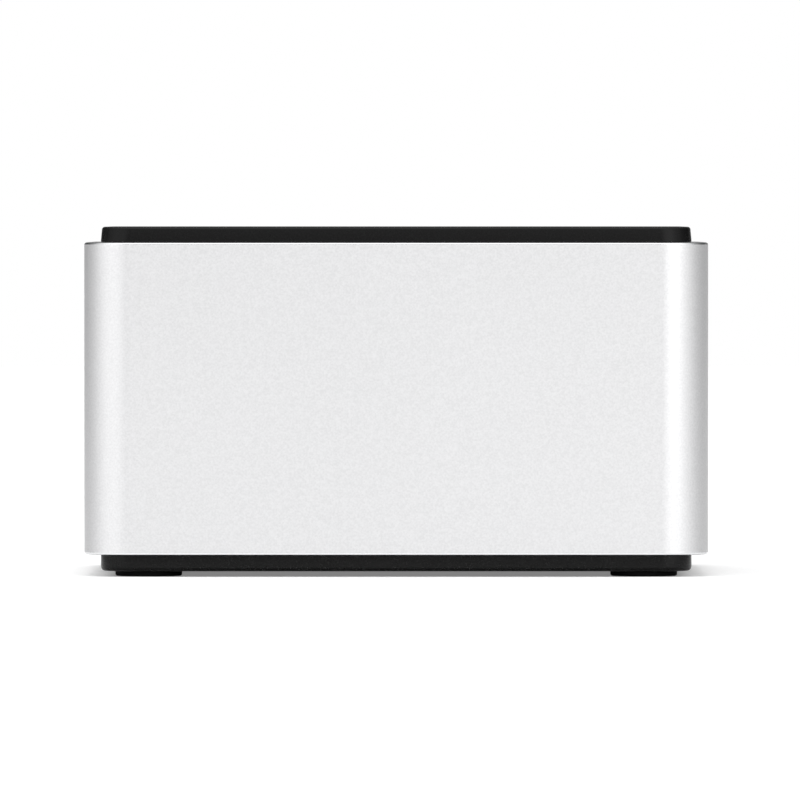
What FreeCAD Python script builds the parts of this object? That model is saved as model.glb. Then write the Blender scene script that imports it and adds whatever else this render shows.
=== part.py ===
"""Two-bay docking station for bare 2.5 and 3.5 inch drives.

An extruded aluminium sleeve with round corners stands between a black lid and a black base. Drives go down
through two slots in the lid, past sprung dust flaps, into wells that guide them on to sockets on the board.
Millimetres. X runs to the right along the front, Y to the back, Z up. The origin is on the table, under the
middle of the sleeve.
"""
import FreeCAD, Part
import math
import os
import re

import Sketcher
from FreeCAD import Vector

# Driving dimensions, in millimetres and degrees. Each becomes a cell of the sheet.
SIZES = {
    # Sleeve: one extruded tube, standing on end
    "sleeve_width": 140,
    "sleeve_depth": 108,
    "sleeve_height": 70,
    "sleeve_wall": 4.5,
    "sleeve_corner": 10.5,
    "sleeve_edge": 0.5,
    # Lid and base: both stand in from the outside of the sleeve and plug into it
    "cap_inset": 3.7,
    "plug_gap": 0.2,
    "plug_wall": 1.8,
    "plug_depth": 4.5,
    "lid_rise": 3.5,
    "lid_draft": 5,
    "lid_edge": 0.6,
    "lid_skin": 2.5,
    "base_drop": 3.7,
    "base_edge": 1.0,
    "base_floor": 2.2,
    # Rubber feet, glued into round recesses
    "foot_diameter": 15,
    "foot_height": 1.2,
    "foot_recess": 0.8,
    "foot_edge": 0.4,
    "foot_gap": 0.15,
    "foot_inset_x": 10.7,
    "foot_inset_y": 9.3,
    # Air slots through the base floor
    "vent_count": 9,
    "vent_width": 2.4,
    "vent_length": 22,
    "vent_pitch": 7,
    "vent_y": 16,
    # Bays: the slots in the lid and the wells below them
    "bay_pitch": 41.7,
    "bay_shift": 3.3,
    "slot_width": 104,
    "slot_depth": 27.5,
    "slot_corner": 1.6,
    "slot_bevel": 0.8,
    "well_wall": 1.5,
    "well_floor": 1.5,
    "well_gap": 0.3,
    "guide_rib_width": 2,
    "guide_rib_height": 13,
    "guide_rib_pitch": 36,
    # Columns under the wells, which stand on the board and are screwed to it from below
    "column_inset": 8.3,
    "column_setback": 12.5,
    "column_behind_slot": 3,
    "column_across": 5,
    "small_hole": 2.9,
    "small_pilot": 2.4,
    "pilot_play": 0.04,
    "small_pilot_depth": 7.5,
    "small_head_across": 4.6,
    "small_head_height": 1.8,
    "small_screw_length": 7,
    # Dust flaps and their hinges
    "flap_thickness": 1.8,
    "flap_drop": 1.0,
    "flap_gap": 0.4,
    "flap_lead": 0.6,
    "flap_edge": 0.3,
    "hinge_inset": 16,
    "knuckle_radius": 1.8,
    "knuckle_gap": 0.4,
    "knuckle_length": 7,
    "knuckle_side_gap": 0.3,
    "arm_reach": 7,
    "arm_depth": 0.9,
    "ear_thickness": 3,
    "ear_width": 5,
    "pin_diameter": 2,
    "pin_play": 0.05,
    "pin_seat": 0.02,
    # Torsion springs beside the knuckles
    "spring_wire": 0.5,
    "spring_play": 0.35,
    "spring_turns": 4,
    "spring_pitch": 0.62,
    "spring_room": 3.4,
    "spring_front_leg": 9,
    "spring_rear_leg": 2.2,
    # Pillars from the base to bosses under the lid, held from below by the base screws
    "pillar_inset": 4.2,
    "pillar_across": 6.4,
    "pillar_pilot": 2.5,
    "pillar_pilot_depth": 12,
    "pillar_bevel": 0.4,
    "lid_boss_length": 6,
    "stud_width": 3,
    "stud_length": 4.5,
    "stud_play": 0.04,
    "stud_end_gap": 0.5,
    "base_boss_across": 9,
    "base_boss_height": 5.6,
    "base_hole": 3.4,
    "counterbore": 6,
    "counterbore_depth": 4,
    "base_head_across": 5,
    "base_head_height": 2.2,
    "base_screw_length": 12,
    "recess_length": 2.6,
    "recess_width": 0.7,
    "recess_depth": 1,
    # Board and its standoffs
    "board_lift": 9,
    "board_thickness": 1.6,
    "board_side_gap": 1.1,
    "board_end_gap": 0.5,
    "board_corner": 2,
    "standoff_inset": 4.2,
    "standoff_across": 6,
    # Drive sockets
    "socket_inset": 4.5,
    "socket_offset": 5,
    "socket_width": 40,
    "socket_thickness": 6.4,
    "socket_height": 14,
    "socket_lip": 1,
    "socket_play": 0.5,
    "socket_horn_height": 2.5,
    "socket_horn_width": 2.4,
    "socket_horn_bevel": 0.8,
    "signal_width": 10.5,
    "power_width": 20.7,
    "cavity_gap": 2.4,
    "cavity_depth": 8,
    "tongue_slot": 1.9,
    "key_width": 1.4,
    "key_length": 1.5,
    "key_overlap": 0.1,
    "contact_pitch": 1.27,
    "contact_width": 0.6,
    "contact_thickness": 0.3,
    "contact_height": 6.5,
    # Window in the back of the sleeve and the port panel that fills it
    "window_margin": 28,
    "window_height": 17,
    "window_below_board": 2.5,
    "window_corner": 3,
    "panel_gap": 0.15,
    "panel_skin": 1.6,
    "panel_recess": 0.5,
    "panel_flange": 1.5,
    "panel_overlap": 1.6,
    "port_bevel": 0.4,
    # Data port
    "port_pitch": 18,
    "usb_width": 8.94,
    "usb_height": 3.26,
    "usb_wall": 0.32,
    "usb_corner": 1.5,
    "usb_length": 10.5,
    "usb_recess": 0.2,
    "usb_play": 0.2,
    "usb_cavity": 7,
    "usb_tongue_setback": 0.9,
    "usb_tongue_width": 6.7,
    "usb_tongue_thickness": 0.7,
    # Power inlet
    "jack_margin": 11,
    "jack_width": 9,
    "jack_height": 11,
    "jack_length": 14,
    "jack_axis_height": 6,
    "jack_bore": 6.3,
    "jack_bore_depth": 9.5,
    "jack_pin": 2.5,
    "jack_pin_setback": 1.25,
    "jack_pin_bevel": 0.6,
    "jack_window": 7.6,
    "jack_gap": 0.1,
    # Push buttons and their switches, one for each bay
    "button_margin": 10,
    "button_pitch": 18,
    "button_diameter": 8,
    "button_play": 0.25,
    "button_proud": 0.3,
    "button_travel": 1.5,
    "button_flange_diameter": 9.4,
    "button_flange_thickness": 1.2,
    "button_edge": 0.5,
    "switch_width": 8,
    "switch_height": 8.6,
    "switch_length": 9,
    "switch_setback": 0.6,
    "plunger_width": 3.2,
    "plunger_play": 0.15,
    "plunger_depth": 4,
    # Status lights
    "pipe_x": 7,
    "pipe_diameter": 2,
    "pipe_play": 0.05,
    "pipe_recess": 0.1,
    "led_width": 2,
    "led_depth": 1.2,
    "led_height": 0.8,
    "led_gap": 0.3,
    # Parts on the board
    "chip_width": 14,
    "chip_height": 1.4,
    "chip_bevel": 0.35,
    "chip_spacing": 12,
    "capacitor_diameter": 6.3,
    "capacitor_height": 7.7,
    "capacitor_spacing": 10,
    "capacitor_pitch": 9,
    "coil_width": 7,
    "coil_height": 4,
    "coil_spacing": 16,
    "coil_pitch": 10,
}

# Places and sizes that follow from the driving dimensions.
PLACES = {
    "base_bottom": "foot_height",
    "sleeve_bottom": "base_bottom + base_drop",
    "sleeve_top": "sleeve_bottom + sleeve_height",
    "lid_top": "sleeve_top + lid_rise",
    "lid_under": "lid_top - lid_skin",
    "floor_top": "base_bottom + base_floor",
    "inner_width": "sleeve_width - 2 * sleeve_wall",
    "inner_depth": "sleeve_depth - 2 * sleeve_wall",
    "inner_corner": "sleeve_corner - sleeve_wall",
    "cap_width": "sleeve_width - 2 * cap_inset",
    "cap_depth": "sleeve_depth - 2 * cap_inset",
    "cap_corner": "sleeve_corner - cap_inset",
    "plug_width": "inner_width - 2 * plug_gap",
    "plug_length": "inner_depth - 2 * plug_gap",
    "plug_corner": "inner_corner - plug_gap",
    "cavity_width": "plug_width - 2 * plug_wall",
    "cavity_length": "plug_length - 2 * plug_wall",
    "cavity_corner": "plug_corner - plug_wall",
    "plug_top": "sleeve_bottom + plug_depth",
    "board_bottom": "floor_top + board_lift",
    "board_top": "board_bottom + board_thickness",
    "socket_top": "board_top + socket_height",
    "well_floor_top": "socket_top - socket_lip",
    "well_bottom": "well_floor_top - well_floor",
    "well_top": "lid_under - well_gap",
    "well_half_width": "slot_width / 2 + well_gap",
    "column_x": "well_half_width - column_inset",
    "flap_top": "lid_top - flap_drop",
    "flap_under": "flap_top - flap_thickness",
    "hinge_x": "slot_width / 2 - hinge_inset",
    "hinge_z": "lid_under - knuckle_gap - knuckle_radius",
    "hinge_back": "flap_top - hinge_z + flap_gap",
    "hinge_span": "knuckle_length + spring_room + 2 * knuckle_side_gap",
    "knuckle_x": "hinge_x - hinge_span / 2 + knuckle_side_gap + knuckle_length / 2",
    "coil_radius": "pin_diameter / 2 + spring_play + spring_wire / 2",
    "coil_start": "knuckle_x + knuckle_length / 2 + (spring_room - spring_pitch * spring_turns) / 2",
    "foot_x": "cap_width / 2 - foot_inset_x",
    "foot_y": "cap_depth / 2 - foot_inset_y",
    "pillar_x": "cavity_width / 2 - pillar_inset",
    "pillar_y": "cavity_length / 2 - pillar_inset",
    "pillar_top": "lid_under - lid_boss_length",
    "board_width": "2 * (pillar_x - pillar_across / 2 - board_side_gap)",
    "board_depth": "cavity_length - 2 * board_end_gap",
    "standoff_x": "board_width / 2 - standoff_inset",
    "standoff_y": "board_depth / 2 - standoff_inset",
    "socket_x": "well_half_width - socket_inset - socket_width / 2",
    "base_boss_top": "floor_top + base_boss_height",
    "screw_seat": "base_bottom + counterbore_depth",
    "capacitor_x": "column_x - capacitor_spacing",
    "chip_x": "capacitor_x - chip_spacing",
    "coil_x": "chip_x - coil_spacing",
    "back": "sleeve_depth / 2",
    "inner_back": "inner_depth / 2",
    "window_width": "sleeve_width - 2 * window_margin",
    "window_low": "board_top - window_below_board",
    "window_middle": "window_low + window_height / 2",
    "panel_face": "back - panel_recess",
    "panel_inside": "panel_face - panel_skin",
    "panel_back": "inner_back - panel_flange",
    "jack_x": "window_width / 2 - jack_margin",
    "usb_x": "jack_x - port_pitch",
    "usb_z": "board_top + usb_height / 2",
    "usb_mouth": "panel_face - usb_recess",
    "usb_inner_width": "usb_width - 2 * usb_wall",
    "usb_inner_height": "usb_height - 2 * usb_wall",
    "jack_z": "board_top + jack_axis_height",
    "jack_mouth": "panel_inside - jack_gap",
    "switch_z": "board_top + switch_height / 2",
    "switch_mouth": "board_depth / 2 - switch_setback",
    "button_face": "panel_face + button_proud",
    "button_shoulder": "panel_inside - button_play",
    "button_back": "button_shoulder - button_flange_thickness",
    "led_top": "board_top + led_height",
    "pipe_bottom": "led_top + led_gap",
    "contact_base": "socket_top - cavity_depth",
}

# Each bay by name, with the side of the middle that it lies on: the front is towards -Y.
BAYS = {"front": -1, "rear": 1}
SIDES = (-1, 1)
CORNERS = [(x, y) for x in SIDES for y in SIDES]
GUIDE_RIBS = 3
SIGNAL_CONTACTS = 7
POWER_CONTACTS = 15
CAPACITORS = 3
COILS = 2
FLATS_PER_TURN = 8
WIRE_SIDES = 6
TOLERANCE = 1e-4

doc = FreeCAD.newDocument("docking_station")
nodes = {}


def make_sheet():
    """The sheet that holds every driving dimension under its own alias."""
    sheet = doc.addObject("Spreadsheet::Sheet", "sizes")
    for row, (alias, number) in enumerate(SIZES.items(), start=1):
        sheet.set(f"A{row}", str(number))
        sheet.setAlias(f"A{row}", alias)
    doc.recompute()
    return sheet


def expand(formula):
    """The formula with each size and place written out as references to the sheet."""

    def swap(match):
        word = match.group(0)
        if word in SIZES:
            return "sizes." + word
        if word in PLACES:
            return "(" + expand(PLACES[word]) + ")"
        return word

    return re.sub(r"[a-z_][a-z0-9_]*", swap, str(formula))


def value(formula):
    """The number that a formula comes to with the sheet as it stands."""
    return float(sizes.evalExpression(expand(formula)))


def bind(thing, name, formula):
    """Ties a property or a constraint to a formula."""
    thing.setExpression(name, expand(formula))


def new_body(label):
    """An empty body whose label names its node."""
    body = doc.addObject("PartDesign::Body", label)
    body.Label = label
    return body


def keep(label, thing):
    """Lists a finished object as a node of the part."""
    doc.recompute()
    thing.Label = label
    nodes[label] = thing
    return thing


def fix(sketch, kind, point, formula):
    """Dimensions one point of a sketch from its origin, along X or Y."""
    geometry, end = point
    index = sketch.addConstraint(Sketcher.Constraint(kind, -1, 1, geometry, end, value(formula)))
    bind(sketch, f"Constraints[{index}]", formula)


def line(sketch, start, end):
    """One straight edge of a sketch."""
    return sketch.addGeometry(Part.LineSegment(Vector(*start, 0), Vector(*end, 0)))


def arc(sketch, centre, radius, start, end):
    """One round edge of a sketch, from one angle to another in degrees."""
    circle_of_arc = Part.Circle(Vector(*centre, 0), Vector(0, 0, 1), radius)
    curve = Part.ArcOfCircle(circle_of_arc, math.radians(start), math.radians(end))
    return sketch.addGeometry(curve)


def chain(sketch, edges, how):
    """Joins edges end to start, all the way round."""
    for here, there in zip(edges, edges[1:] + edges[:1]):
        sketch.addConstraint(Sketcher.Constraint(how, here, 2, there, 1))


def rectangle(x, y, width, height, corner=None):
    """A rectangle about the point x, y, with square corners or round ones."""
    sides = {
        "left": f"({x}) - ({width}) / 2",
        "right": f"({x}) + ({width}) / 2",
        "low": f"({y}) - ({height}) / 2",
        "high": f"({y}) + ({height}) / 2",
    }

    def draw(sketch):
        left, right, low, high = (value(formula) for formula in sides.values())
        r = value(corner) if corner else 0
        lines = [
            line(sketch, (left + r, low), (right - r, low)),
            line(sketch, (right, low + r), (right, high - r)),
            line(sketch, (right - r, high), (left + r, high)),
            line(sketch, (left, high - r), (left, low + r)),
        ]
        if corner:
            centres = [(right - r, low + r), (right - r, high - r), (left + r, high - r), (left + r, low + r)]
            arcs = [arc(sketch, c, r, 90 * n - 90, 90 * n) for n, c in enumerate(centres)]
            chain(sketch, [edge for pair in zip(lines, arcs) for edge in pair], "Tangent")
            for other in arcs[1:]:
                sketch.addConstraint(Sketcher.Constraint("Equal", arcs[0], other))
            index = sketch.addConstraint(Sketcher.Constraint("Radius", arcs[0], r))
            bind(sketch, f"Constraints[{index}]", corner)
        else:
            chain(sketch, lines, "Coincident")
        for n, edge in enumerate(lines):
            level = "Vertical" if n % 2 else "Horizontal"
            sketch.addConstraint(Sketcher.Constraint(level, edge))
        fix(sketch, "DistanceY", (lines[0], 1), sides["low"])
        fix(sketch, "DistanceX", (lines[1], 1), sides["right"])
        fix(sketch, "DistanceY", (lines[2], 1), sides["high"])
        fix(sketch, "DistanceX", (lines[3], 1), sides["left"])

    return draw


def circle(x, y, diameter):
    """A circle about the point x, y."""

    def draw(sketch):
        centre = Vector(value(x), value(y), 0)
        edge = sketch.addGeometry(Part.Circle(centre, Vector(0, 0, 1), value(diameter) / 2))
        fix(sketch, "DistanceX", (edge, 3), x)
        fix(sketch, "DistanceY", (edge, 3), y)
        index = sketch.addConstraint(Sketcher.Constraint("Diameter", edge, value(diameter)))
        bind(sketch, f"Constraints[{index}]", diameter)

    return draw


def hexagon(x, y, across):
    """A six-sided outline about the point x, y, with flats to the front and the back."""
    half = f"({across}) / 2"
    far = f"({across}) / sqrt(3)"
    corners = [
        (f"({x}) + {far}", y),
        (f"({x}) + {far} / 2", f"({y}) + {half}"),
        (f"({x}) - {far} / 2", f"({y}) + {half}"),
        (f"({x}) - {far}", y),
        (f"({x}) - {far} / 2", f"({y}) - {half}"),
        (f"({x}) + {far} / 2", f"({y}) - {half}"),
    ]

    def draw(sketch):
        points = [(value(a), value(b)) for a, b in corners]
        lines = [line(sketch, here, there) for here, there in zip(points, points[1:] + points[:1])]
        chain(sketch, lines, "Coincident")
        for edge, (a, b) in zip(lines, corners):
            fix(sketch, "DistanceX", (edge, 1), a)
            fix(sketch, "DistanceY", (edge, 1), b)

    return draw


def hanger(x, y, width, top):
    """A strap of a given width that hangs from a level and ends in a half round about x, y."""

    def draw(sketch):
        middle, axis, half, high = value(x), value(y), value(width) / 2, value(top)
        lines = [
            line(sketch, (middle + half, axis), (middle + half, high)),
            line(sketch, (middle + half, high), (middle - half, high)),
            line(sketch, (middle - half, high), (middle - half, axis)),
        ]
        foot = arc(sketch, (middle, axis), half, 180, 360)
        chain(sketch, [*lines, foot], "Coincident")
        sketch.addConstraint(Sketcher.Constraint("Vertical", lines[0]))
        sketch.addConstraint(Sketcher.Constraint("Horizontal", lines[1]))
        sketch.addConstraint(Sketcher.Constraint("Vertical", lines[2]))
        fix(sketch, "DistanceX", (foot, 3), x)
        fix(sketch, "DistanceY", (foot, 3), y)
        fix(sketch, "DistanceY", (lines[0], 1), y)
        fix(sketch, "DistanceY", (lines[1], 1), top)
        fix(sketch, "DistanceY", (lines[2], 2), y)
        index = sketch.addConstraint(Sketcher.Constraint("Radius", foot, half))
        bind(sketch, f"Constraints[{index}]", f"({width}) / 2")

    return draw


def sketch_on(body, plane, level, outlines):
    """A sketch of some outlines, parallel to one of the body's planes and at a level across it."""
    sketch = body.newObject("Sketcher::SketchObject", f"{body.Name}_sketch")
    support = next(item for item in body.Origin.OriginFeatures if item.Role == plane + "_Plane")
    sketch.AttachmentSupport = [(support, "")]
    sketch.MapMode = "FlatFace"
    faces_back = "-1 * " if plane == "XZ" else ""
    bind(sketch, "AttachmentOffset.Base.z", f"{faces_back}({level})")
    for draw in outlines:
        draw(sketch)
    return sketch


def pad(body, plane, start, stop, *outlines, taper=None):
    """Adds outlines from one level to another, widening by a taper in degrees if one is given."""
    return straight_feature("Pad", body, (plane, start, stop), outlines, taper)


def pocket(body, plane, start, stop, *outlines):
    """Cuts outlines from one level to another, and makes sure that something was cut."""
    doc.recompute()
    before = body.Tip.Shape.Volume
    feature = straight_feature("Pocket", body, (plane, start, stop), outlines, None)
    doc.recompute()
    if feature.Shape.isNull() or feature.Shape.Volume > before - TOLERANCE:
        raise RuntimeError(f"{feature.Name} cuts nothing")
    return feature


def straight_feature(kind, body, span, outlines, taper):
    """A pad or a pocket of some outlines across the span of a plane and two levels."""
    plane, start, stop = span
    sketch = sketch_on(body, plane, start, outlines)
    feature = body.newObject("PartDesign::" + kind, f"{body.Name}_{kind.lower()}")
    feature.Profile = sketch
    forward = value(stop) > value(start)
    bind(feature, "Length", f"({stop}) - ({start})" if forward else f"({start}) - ({stop})")
    along_normal = forward != (plane == "XZ")
    feature.Reversed = along_normal == (kind == "Pocket")
    if taper:
        bind(feature, "TaperAngle", taper)
    return feature


def dress(kind, body, size, wanted):
    """Rounds or bevels the edges of the body that a test picks."""
    doc.recompute()
    base = body.Tip
    edges = [f"Edge{n}" for n, edge in enumerate(base.Shape.Edges, start=1) if wanted(edge)]
    if not edges:
        raise RuntimeError(f"{body.Name} has no edge to dress")
    feature = body.newObject("PartDesign::" + kind, f"{body.Name}_{kind.lower()}")
    feature.Base = (base, edges)
    bind(feature, "Radius" if kind == "Fillet" else "Size", size)
    doc.recompute()
    return feature


def repeat(body, feature, count, pitch):
    """Repeats a feature along X at an even pitch."""
    pattern = body.newObject("PartDesign::LinearPattern", f"{body.Name}_row")
    pattern.Originals = [feature]
    across = next(item for item in body.Origin.OriginFeatures if item.Role == "X_Axis")
    pattern.Direction = (across, [""])
    bind(pattern, "Length", f"({count} - 1) * {pitch}")
    bind(pattern, "Occurrences", count)
    body.Tip = pattern
    doc.recompute()
    return pattern


def flat_at(axis, level):
    """A test for edges that lie wholly at one level of an axis."""
    number = value(level)

    def wanted(edge):
        box = edge.BoundBox
        low, high = getattr(box, axis + "Min"), getattr(box, axis + "Max")
        return abs(low - number) < TOLERANCE and abs(high - number) < TOLERANCE

    return wanted


def inside(x_limit, y_low, y_high):
    """A test for edges that lie wholly within a rectangle seen from above."""
    bounds = [value(limit) + TOLERANCE for limit in (x_limit, y_high)]
    low = value(y_low) - TOLERANCE

    def wanted(edge):
        box = edge.BoundBox
        across = max(abs(box.XMin), abs(box.XMax)) < bounds[0]
        return across and box.YMin > low and box.YMax < bounds[1]

    return wanted


def both(*tests):
    """A test that holds where all of several tests hold."""
    return lambda edge: all(test(edge) for test in tests)


def group(label, members):
    """One node made of several separate solids."""
    compound = doc.addObject("Part::Compound", label)
    compound.Links = members
    return keep(label, compound)


def bay_centre(bay):
    """Where the middle of a bay's slot lies, front to back."""
    return f"({BAYS[bay]} * bay_pitch / 2 - bay_shift)"


def slot_front(bay):
    """Where a bay's slot begins, front to back."""
    return f"({bay_centre(bay)} - slot_depth / 2)"


def slot_back(bay):
    """Where a bay's slot ends, front to back."""
    return f"({bay_centre(bay)} + slot_depth / 2)"


def hinge_y(bay):
    """Where a flap's hinge axis lies: far enough back for the open flap to leave the slot clear."""
    return f"({slot_back(bay)} + hinge_back)"


def between(low, high):
    """The middle and the length of a stretch between two formulas."""
    return f"(({low}) + ({high})) / 2", f"({high}) - ({low})"


def make_sleeve():
    """The extruded tube: two round-cornered outlines, bevelled at both ends, with a window at the back."""
    body = new_body("sleeve")
    outside = rectangle(0, 0, "sleeve_width", "sleeve_depth", "sleeve_corner")
    inside_wall = rectangle(0, 0, "inner_width", "inner_depth", "inner_corner")
    pad(body, "XY", "sleeve_bottom", "sleeve_top", outside, inside_wall)
    window = rectangle(0, "window_middle", "window_width", "window_height", "window_corner")
    pocket(body, "XZ", "inner_back - sleeve_wall", "back + sleeve_wall", window)
    within = inside("inner_width / 2", "-inner_depth / 2", "inner_depth / 2")
    ends = [flat_at("Z", "sleeve_top"), flat_at("Z", "sleeve_bottom")]
    dress("Chamfer", body, "sleeve_edge", lambda e: any(end(e) for end in ends) and not within(e))
    return keep("sleeve", body)


def make_lid():
    """The top cover: a drafted cap on a plug rim, two slots, hinge ears and a boss for each pillar."""
    body = new_body("lid")
    cap = rectangle(0, 0, "cap_width", "cap_depth", "cap_corner")
    pad(body, "XY", "sleeve_top", "lid_top", cap, taper="-1 * lid_draft")
    dress("Chamfer", body, "lid_edge", flat_at("Z", "lid_top"))
    rim = rectangle(0, 0, "plug_width", "plug_length", "plug_corner")
    pad(body, "XY", "sleeve_top", "sleeve_top - plug_depth", rim)
    hollow = rectangle(0, 0, "cavity_width", "cavity_length", "cavity_corner")
    pocket(body, "XY", "sleeve_top - plug_depth", "lid_under", hollow)
    slots = []
    for bay in BAYS:
        slots.append(rectangle(0, bay_centre(bay), "slot_width", "slot_depth", "slot_corner"))
    pocket(body, "XY", "lid_top", "sleeve_top - plug_depth", *slots)
    bays = [inside("slot_width / 2", slot_front(bay), slot_back(bay)) for bay in BAYS]
    rim_of_slot = both(flat_at("Z", "lid_top"), lambda edge: any(bay(edge) for bay in bays))
    dress("Chamfer", body, "slot_bevel", rim_of_slot)
    bosses = [hexagon(x, y, "pillar_across") for x, y in pillar_places()]
    pad(body, "XY", "pillar_top", "lid_under + lid_skin / 2", *bosses)
    for side in SIDES:
        for end in SIDES:
            near = f"{side} * (hinge_x + {end} * hinge_span / 2)"
            far = f"{side} * (hinge_x + {end} * (hinge_span / 2 + ear_thickness))"
            ears = [hanger(hinge_y(bay), "hinge_z", "ear_width", "lid_under + lid_skin / 2") for bay in BAYS]
            pad(body, "YZ", near, far, *ears)
    pins = [circle(hinge_y(bay), "hinge_z", "pin_diameter + 2 * pin_seat") for bay in BAYS]
    pocket(body, "YZ", "-slot_width / 2", "slot_width / 2", *pins)
    socket = "stud_width + 2 * stud_play"
    studs = [rectangle(x, y, socket, socket) for x, y in pillar_places()]
    pocket(body, "XY", "pillar_top", "pillar_top + stud_length + stud_end_gap", *studs)
    lights = [circle(f"{x} * pipe_x", light_y(), "pipe_diameter + 2 * pipe_play") for x in SIDES]
    pocket(body, "XY", "lid_top", "sleeve_top - plug_depth", *lights)
    return keep("lid", body)


def pillar_places():
    """Where the pillars stand: in the four corners, outside the wells."""
    return [(f"{x} * pillar_x", f"{y} * pillar_y") for x, y in CORNERS]


def make_pillars():
    """The six-sided pillars that tie the lid to the base, each with a square stud into its lid boss."""
    body = new_body("lid_pillars")
    places = pillar_places()
    pad(body, "XY", "base_boss_top", "pillar_top", *[hexagon(x, y, "pillar_across") for x, y in places])
    dress("Chamfer", body, "pillar_bevel", flat_at("Z", "base_boss_top"))
    studs = [rectangle(x, y, "stud_width", "stud_width") for x, y in places]
    pad(body, "XY", "pillar_top", "pillar_top + stud_length", *studs)
    pilots = [circle(x, y, "pillar_pilot") for x, y in places]
    pocket(body, "XY", "base_boss_top", "base_boss_top + pillar_pilot_depth", *pilots)
    return keep("lid_pillars", body)


def standoff_places():
    """Where the board's standoffs rise from the base: near the board's four corners."""
    return [(f"{x} * standoff_x", f"{y} * standoff_y") for x, y in CORNERS]


def make_base():
    """The bottom cover: a tray with a plug rim, standoffs, screw bosses, air slots and foot recesses."""
    body = new_body("base")
    cap = rectangle(0, 0, "cap_width", "cap_depth", "cap_corner")
    pad(body, "XY", "base_bottom", "sleeve_bottom", cap)
    dress("Chamfer", body, "base_edge", flat_at("Z", "base_bottom"))
    pad(body, "XY", "sleeve_bottom", "plug_top", rectangle(0, 0, "plug_width", "plug_length", "plug_corner"))
    hollow = rectangle(0, 0, "cavity_width", "cavity_length", "cavity_corner")
    pocket(body, "XY", "plug_top", "floor_top", hollow)
    standoffs = standoff_places()
    pad(body, "XY", "floor_top", "board_bottom", *[hexagon(x, y, "standoff_across") for x, y in standoffs])
    bosses = pillar_places()
    pad(body, "XY", "floor_top", "base_boss_top", *[hexagon(x, y, "base_boss_across") for x, y in bosses])
    pilots = [circle(x, y, "small_pilot") for x, y in standoffs]
    pocket(body, "XY", "board_bottom", "board_bottom - small_pilot_depth", *pilots)
    holes = [circle(x, y, "base_hole") for x, y in bosses]
    pocket(body, "XY", "base_boss_top", "base_bottom - base_drop", *holes)
    heads = [circle(x, y, "counterbore") for x, y in bosses]
    pocket(body, "XY", "base_bottom", "screw_seat", *heads)
    feet = [circle(f"{x} * foot_x", f"{y} * foot_y", "foot_diameter + 2 * foot_gap") for x, y in CORNERS]
    pocket(body, "XY", "base_bottom", "base_bottom + foot_recess", *feet)
    first = "-(vent_count - 1) / 2 * vent_pitch"
    slots = [rectangle(first, f"{row} * vent_y", "vent_width", "vent_length") for row in SIDES]
    cut = pocket(body, "XY", "floor_top", "base_bottom - base_drop", *slots)
    repeat(body, cut, "vent_count", "vent_pitch")
    return keep("base", body)


def make_foot(name, x, y):
    """One rubber foot: a disc in its recess, over a base screw, bevelled where it meets the table."""
    body = new_body(name)
    disc = circle(f"{x} * foot_x", f"{y} * foot_y", "foot_diameter")
    pad(body, "XY", "0", "base_bottom + foot_recess", disc)
    dress("Chamfer", body, "foot_edge", flat_at("Z", "0"))
    return keep(name, body)


def make_well(bay):
    """One drive well: an open box with a floor for the socket, guide ribs, and columns down to the board."""
    body = new_body(f"{bay}_bay_well")
    front = f"{slot_front(bay)} - well_gap"
    back = f"{hinge_y(bay)} + ear_width / 2 + well_gap"
    middle, depth = between(front, back)
    outside = rectangle(0, middle, "2 * (well_half_width + well_wall)", f"{depth} + 2 * well_wall")
    pad(body, "XY", "well_bottom", "well_top", outside)
    pocket(body, "XY", "well_top", "well_floor_top", rectangle(0, middle, "2 * well_half_width", depth))
    rib_middle, rib_depth = between(f"{slot_back(bay)} + well_gap", f"{back} + well_wall / 2")
    ribs = []
    for n in range(GUIDE_RIBS):
        x = f"{n - (GUIDE_RIBS - 1) / 2} * guide_rib_pitch"
        ribs.append(rectangle(x, rib_middle, "guide_rib_width", rib_depth))
    pad(body, "XY", "well_floor_top - well_floor / 2", "well_floor_top + guide_rib_height", *ribs)
    opening = rectangle(
        "-socket_x",
        f"{slot_front(bay)} + socket_offset",
        "socket_width + 2 * socket_play",
        "socket_thickness + 2 * socket_play",
    )
    pocket(body, "XY", "well_floor_top", "well_bottom - well_floor", opening)
    columns = [hexagon(x, y, "column_across") for x, y in column_places(bay)]
    pad(body, "XY", "board_top", "well_bottom + well_floor / 2", *columns)
    pilots = [circle(x, y, "small_pilot") for x, y in screwed_columns(bay)]
    pocket(body, "XY", "board_top", "board_top + small_pilot_depth", *pilots)
    return keep(f"{bay}_bay_well", body)


def column_places(bay):
    """Where a well's columns stand on the board: two behind the socket and two behind the slot."""
    front = f"{slot_front(bay)} + column_setback"
    back = f"{slot_back(bay)} + column_behind_slot"
    return [(f"{side} * column_x", y) for side in SIDES for y in (front, back)]


def screwed_columns(bay):
    """The two of a well's columns, across from each other, that take a screw."""
    _, left_back, right_front, _ = column_places(bay)
    return [left_back, right_front]


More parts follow.
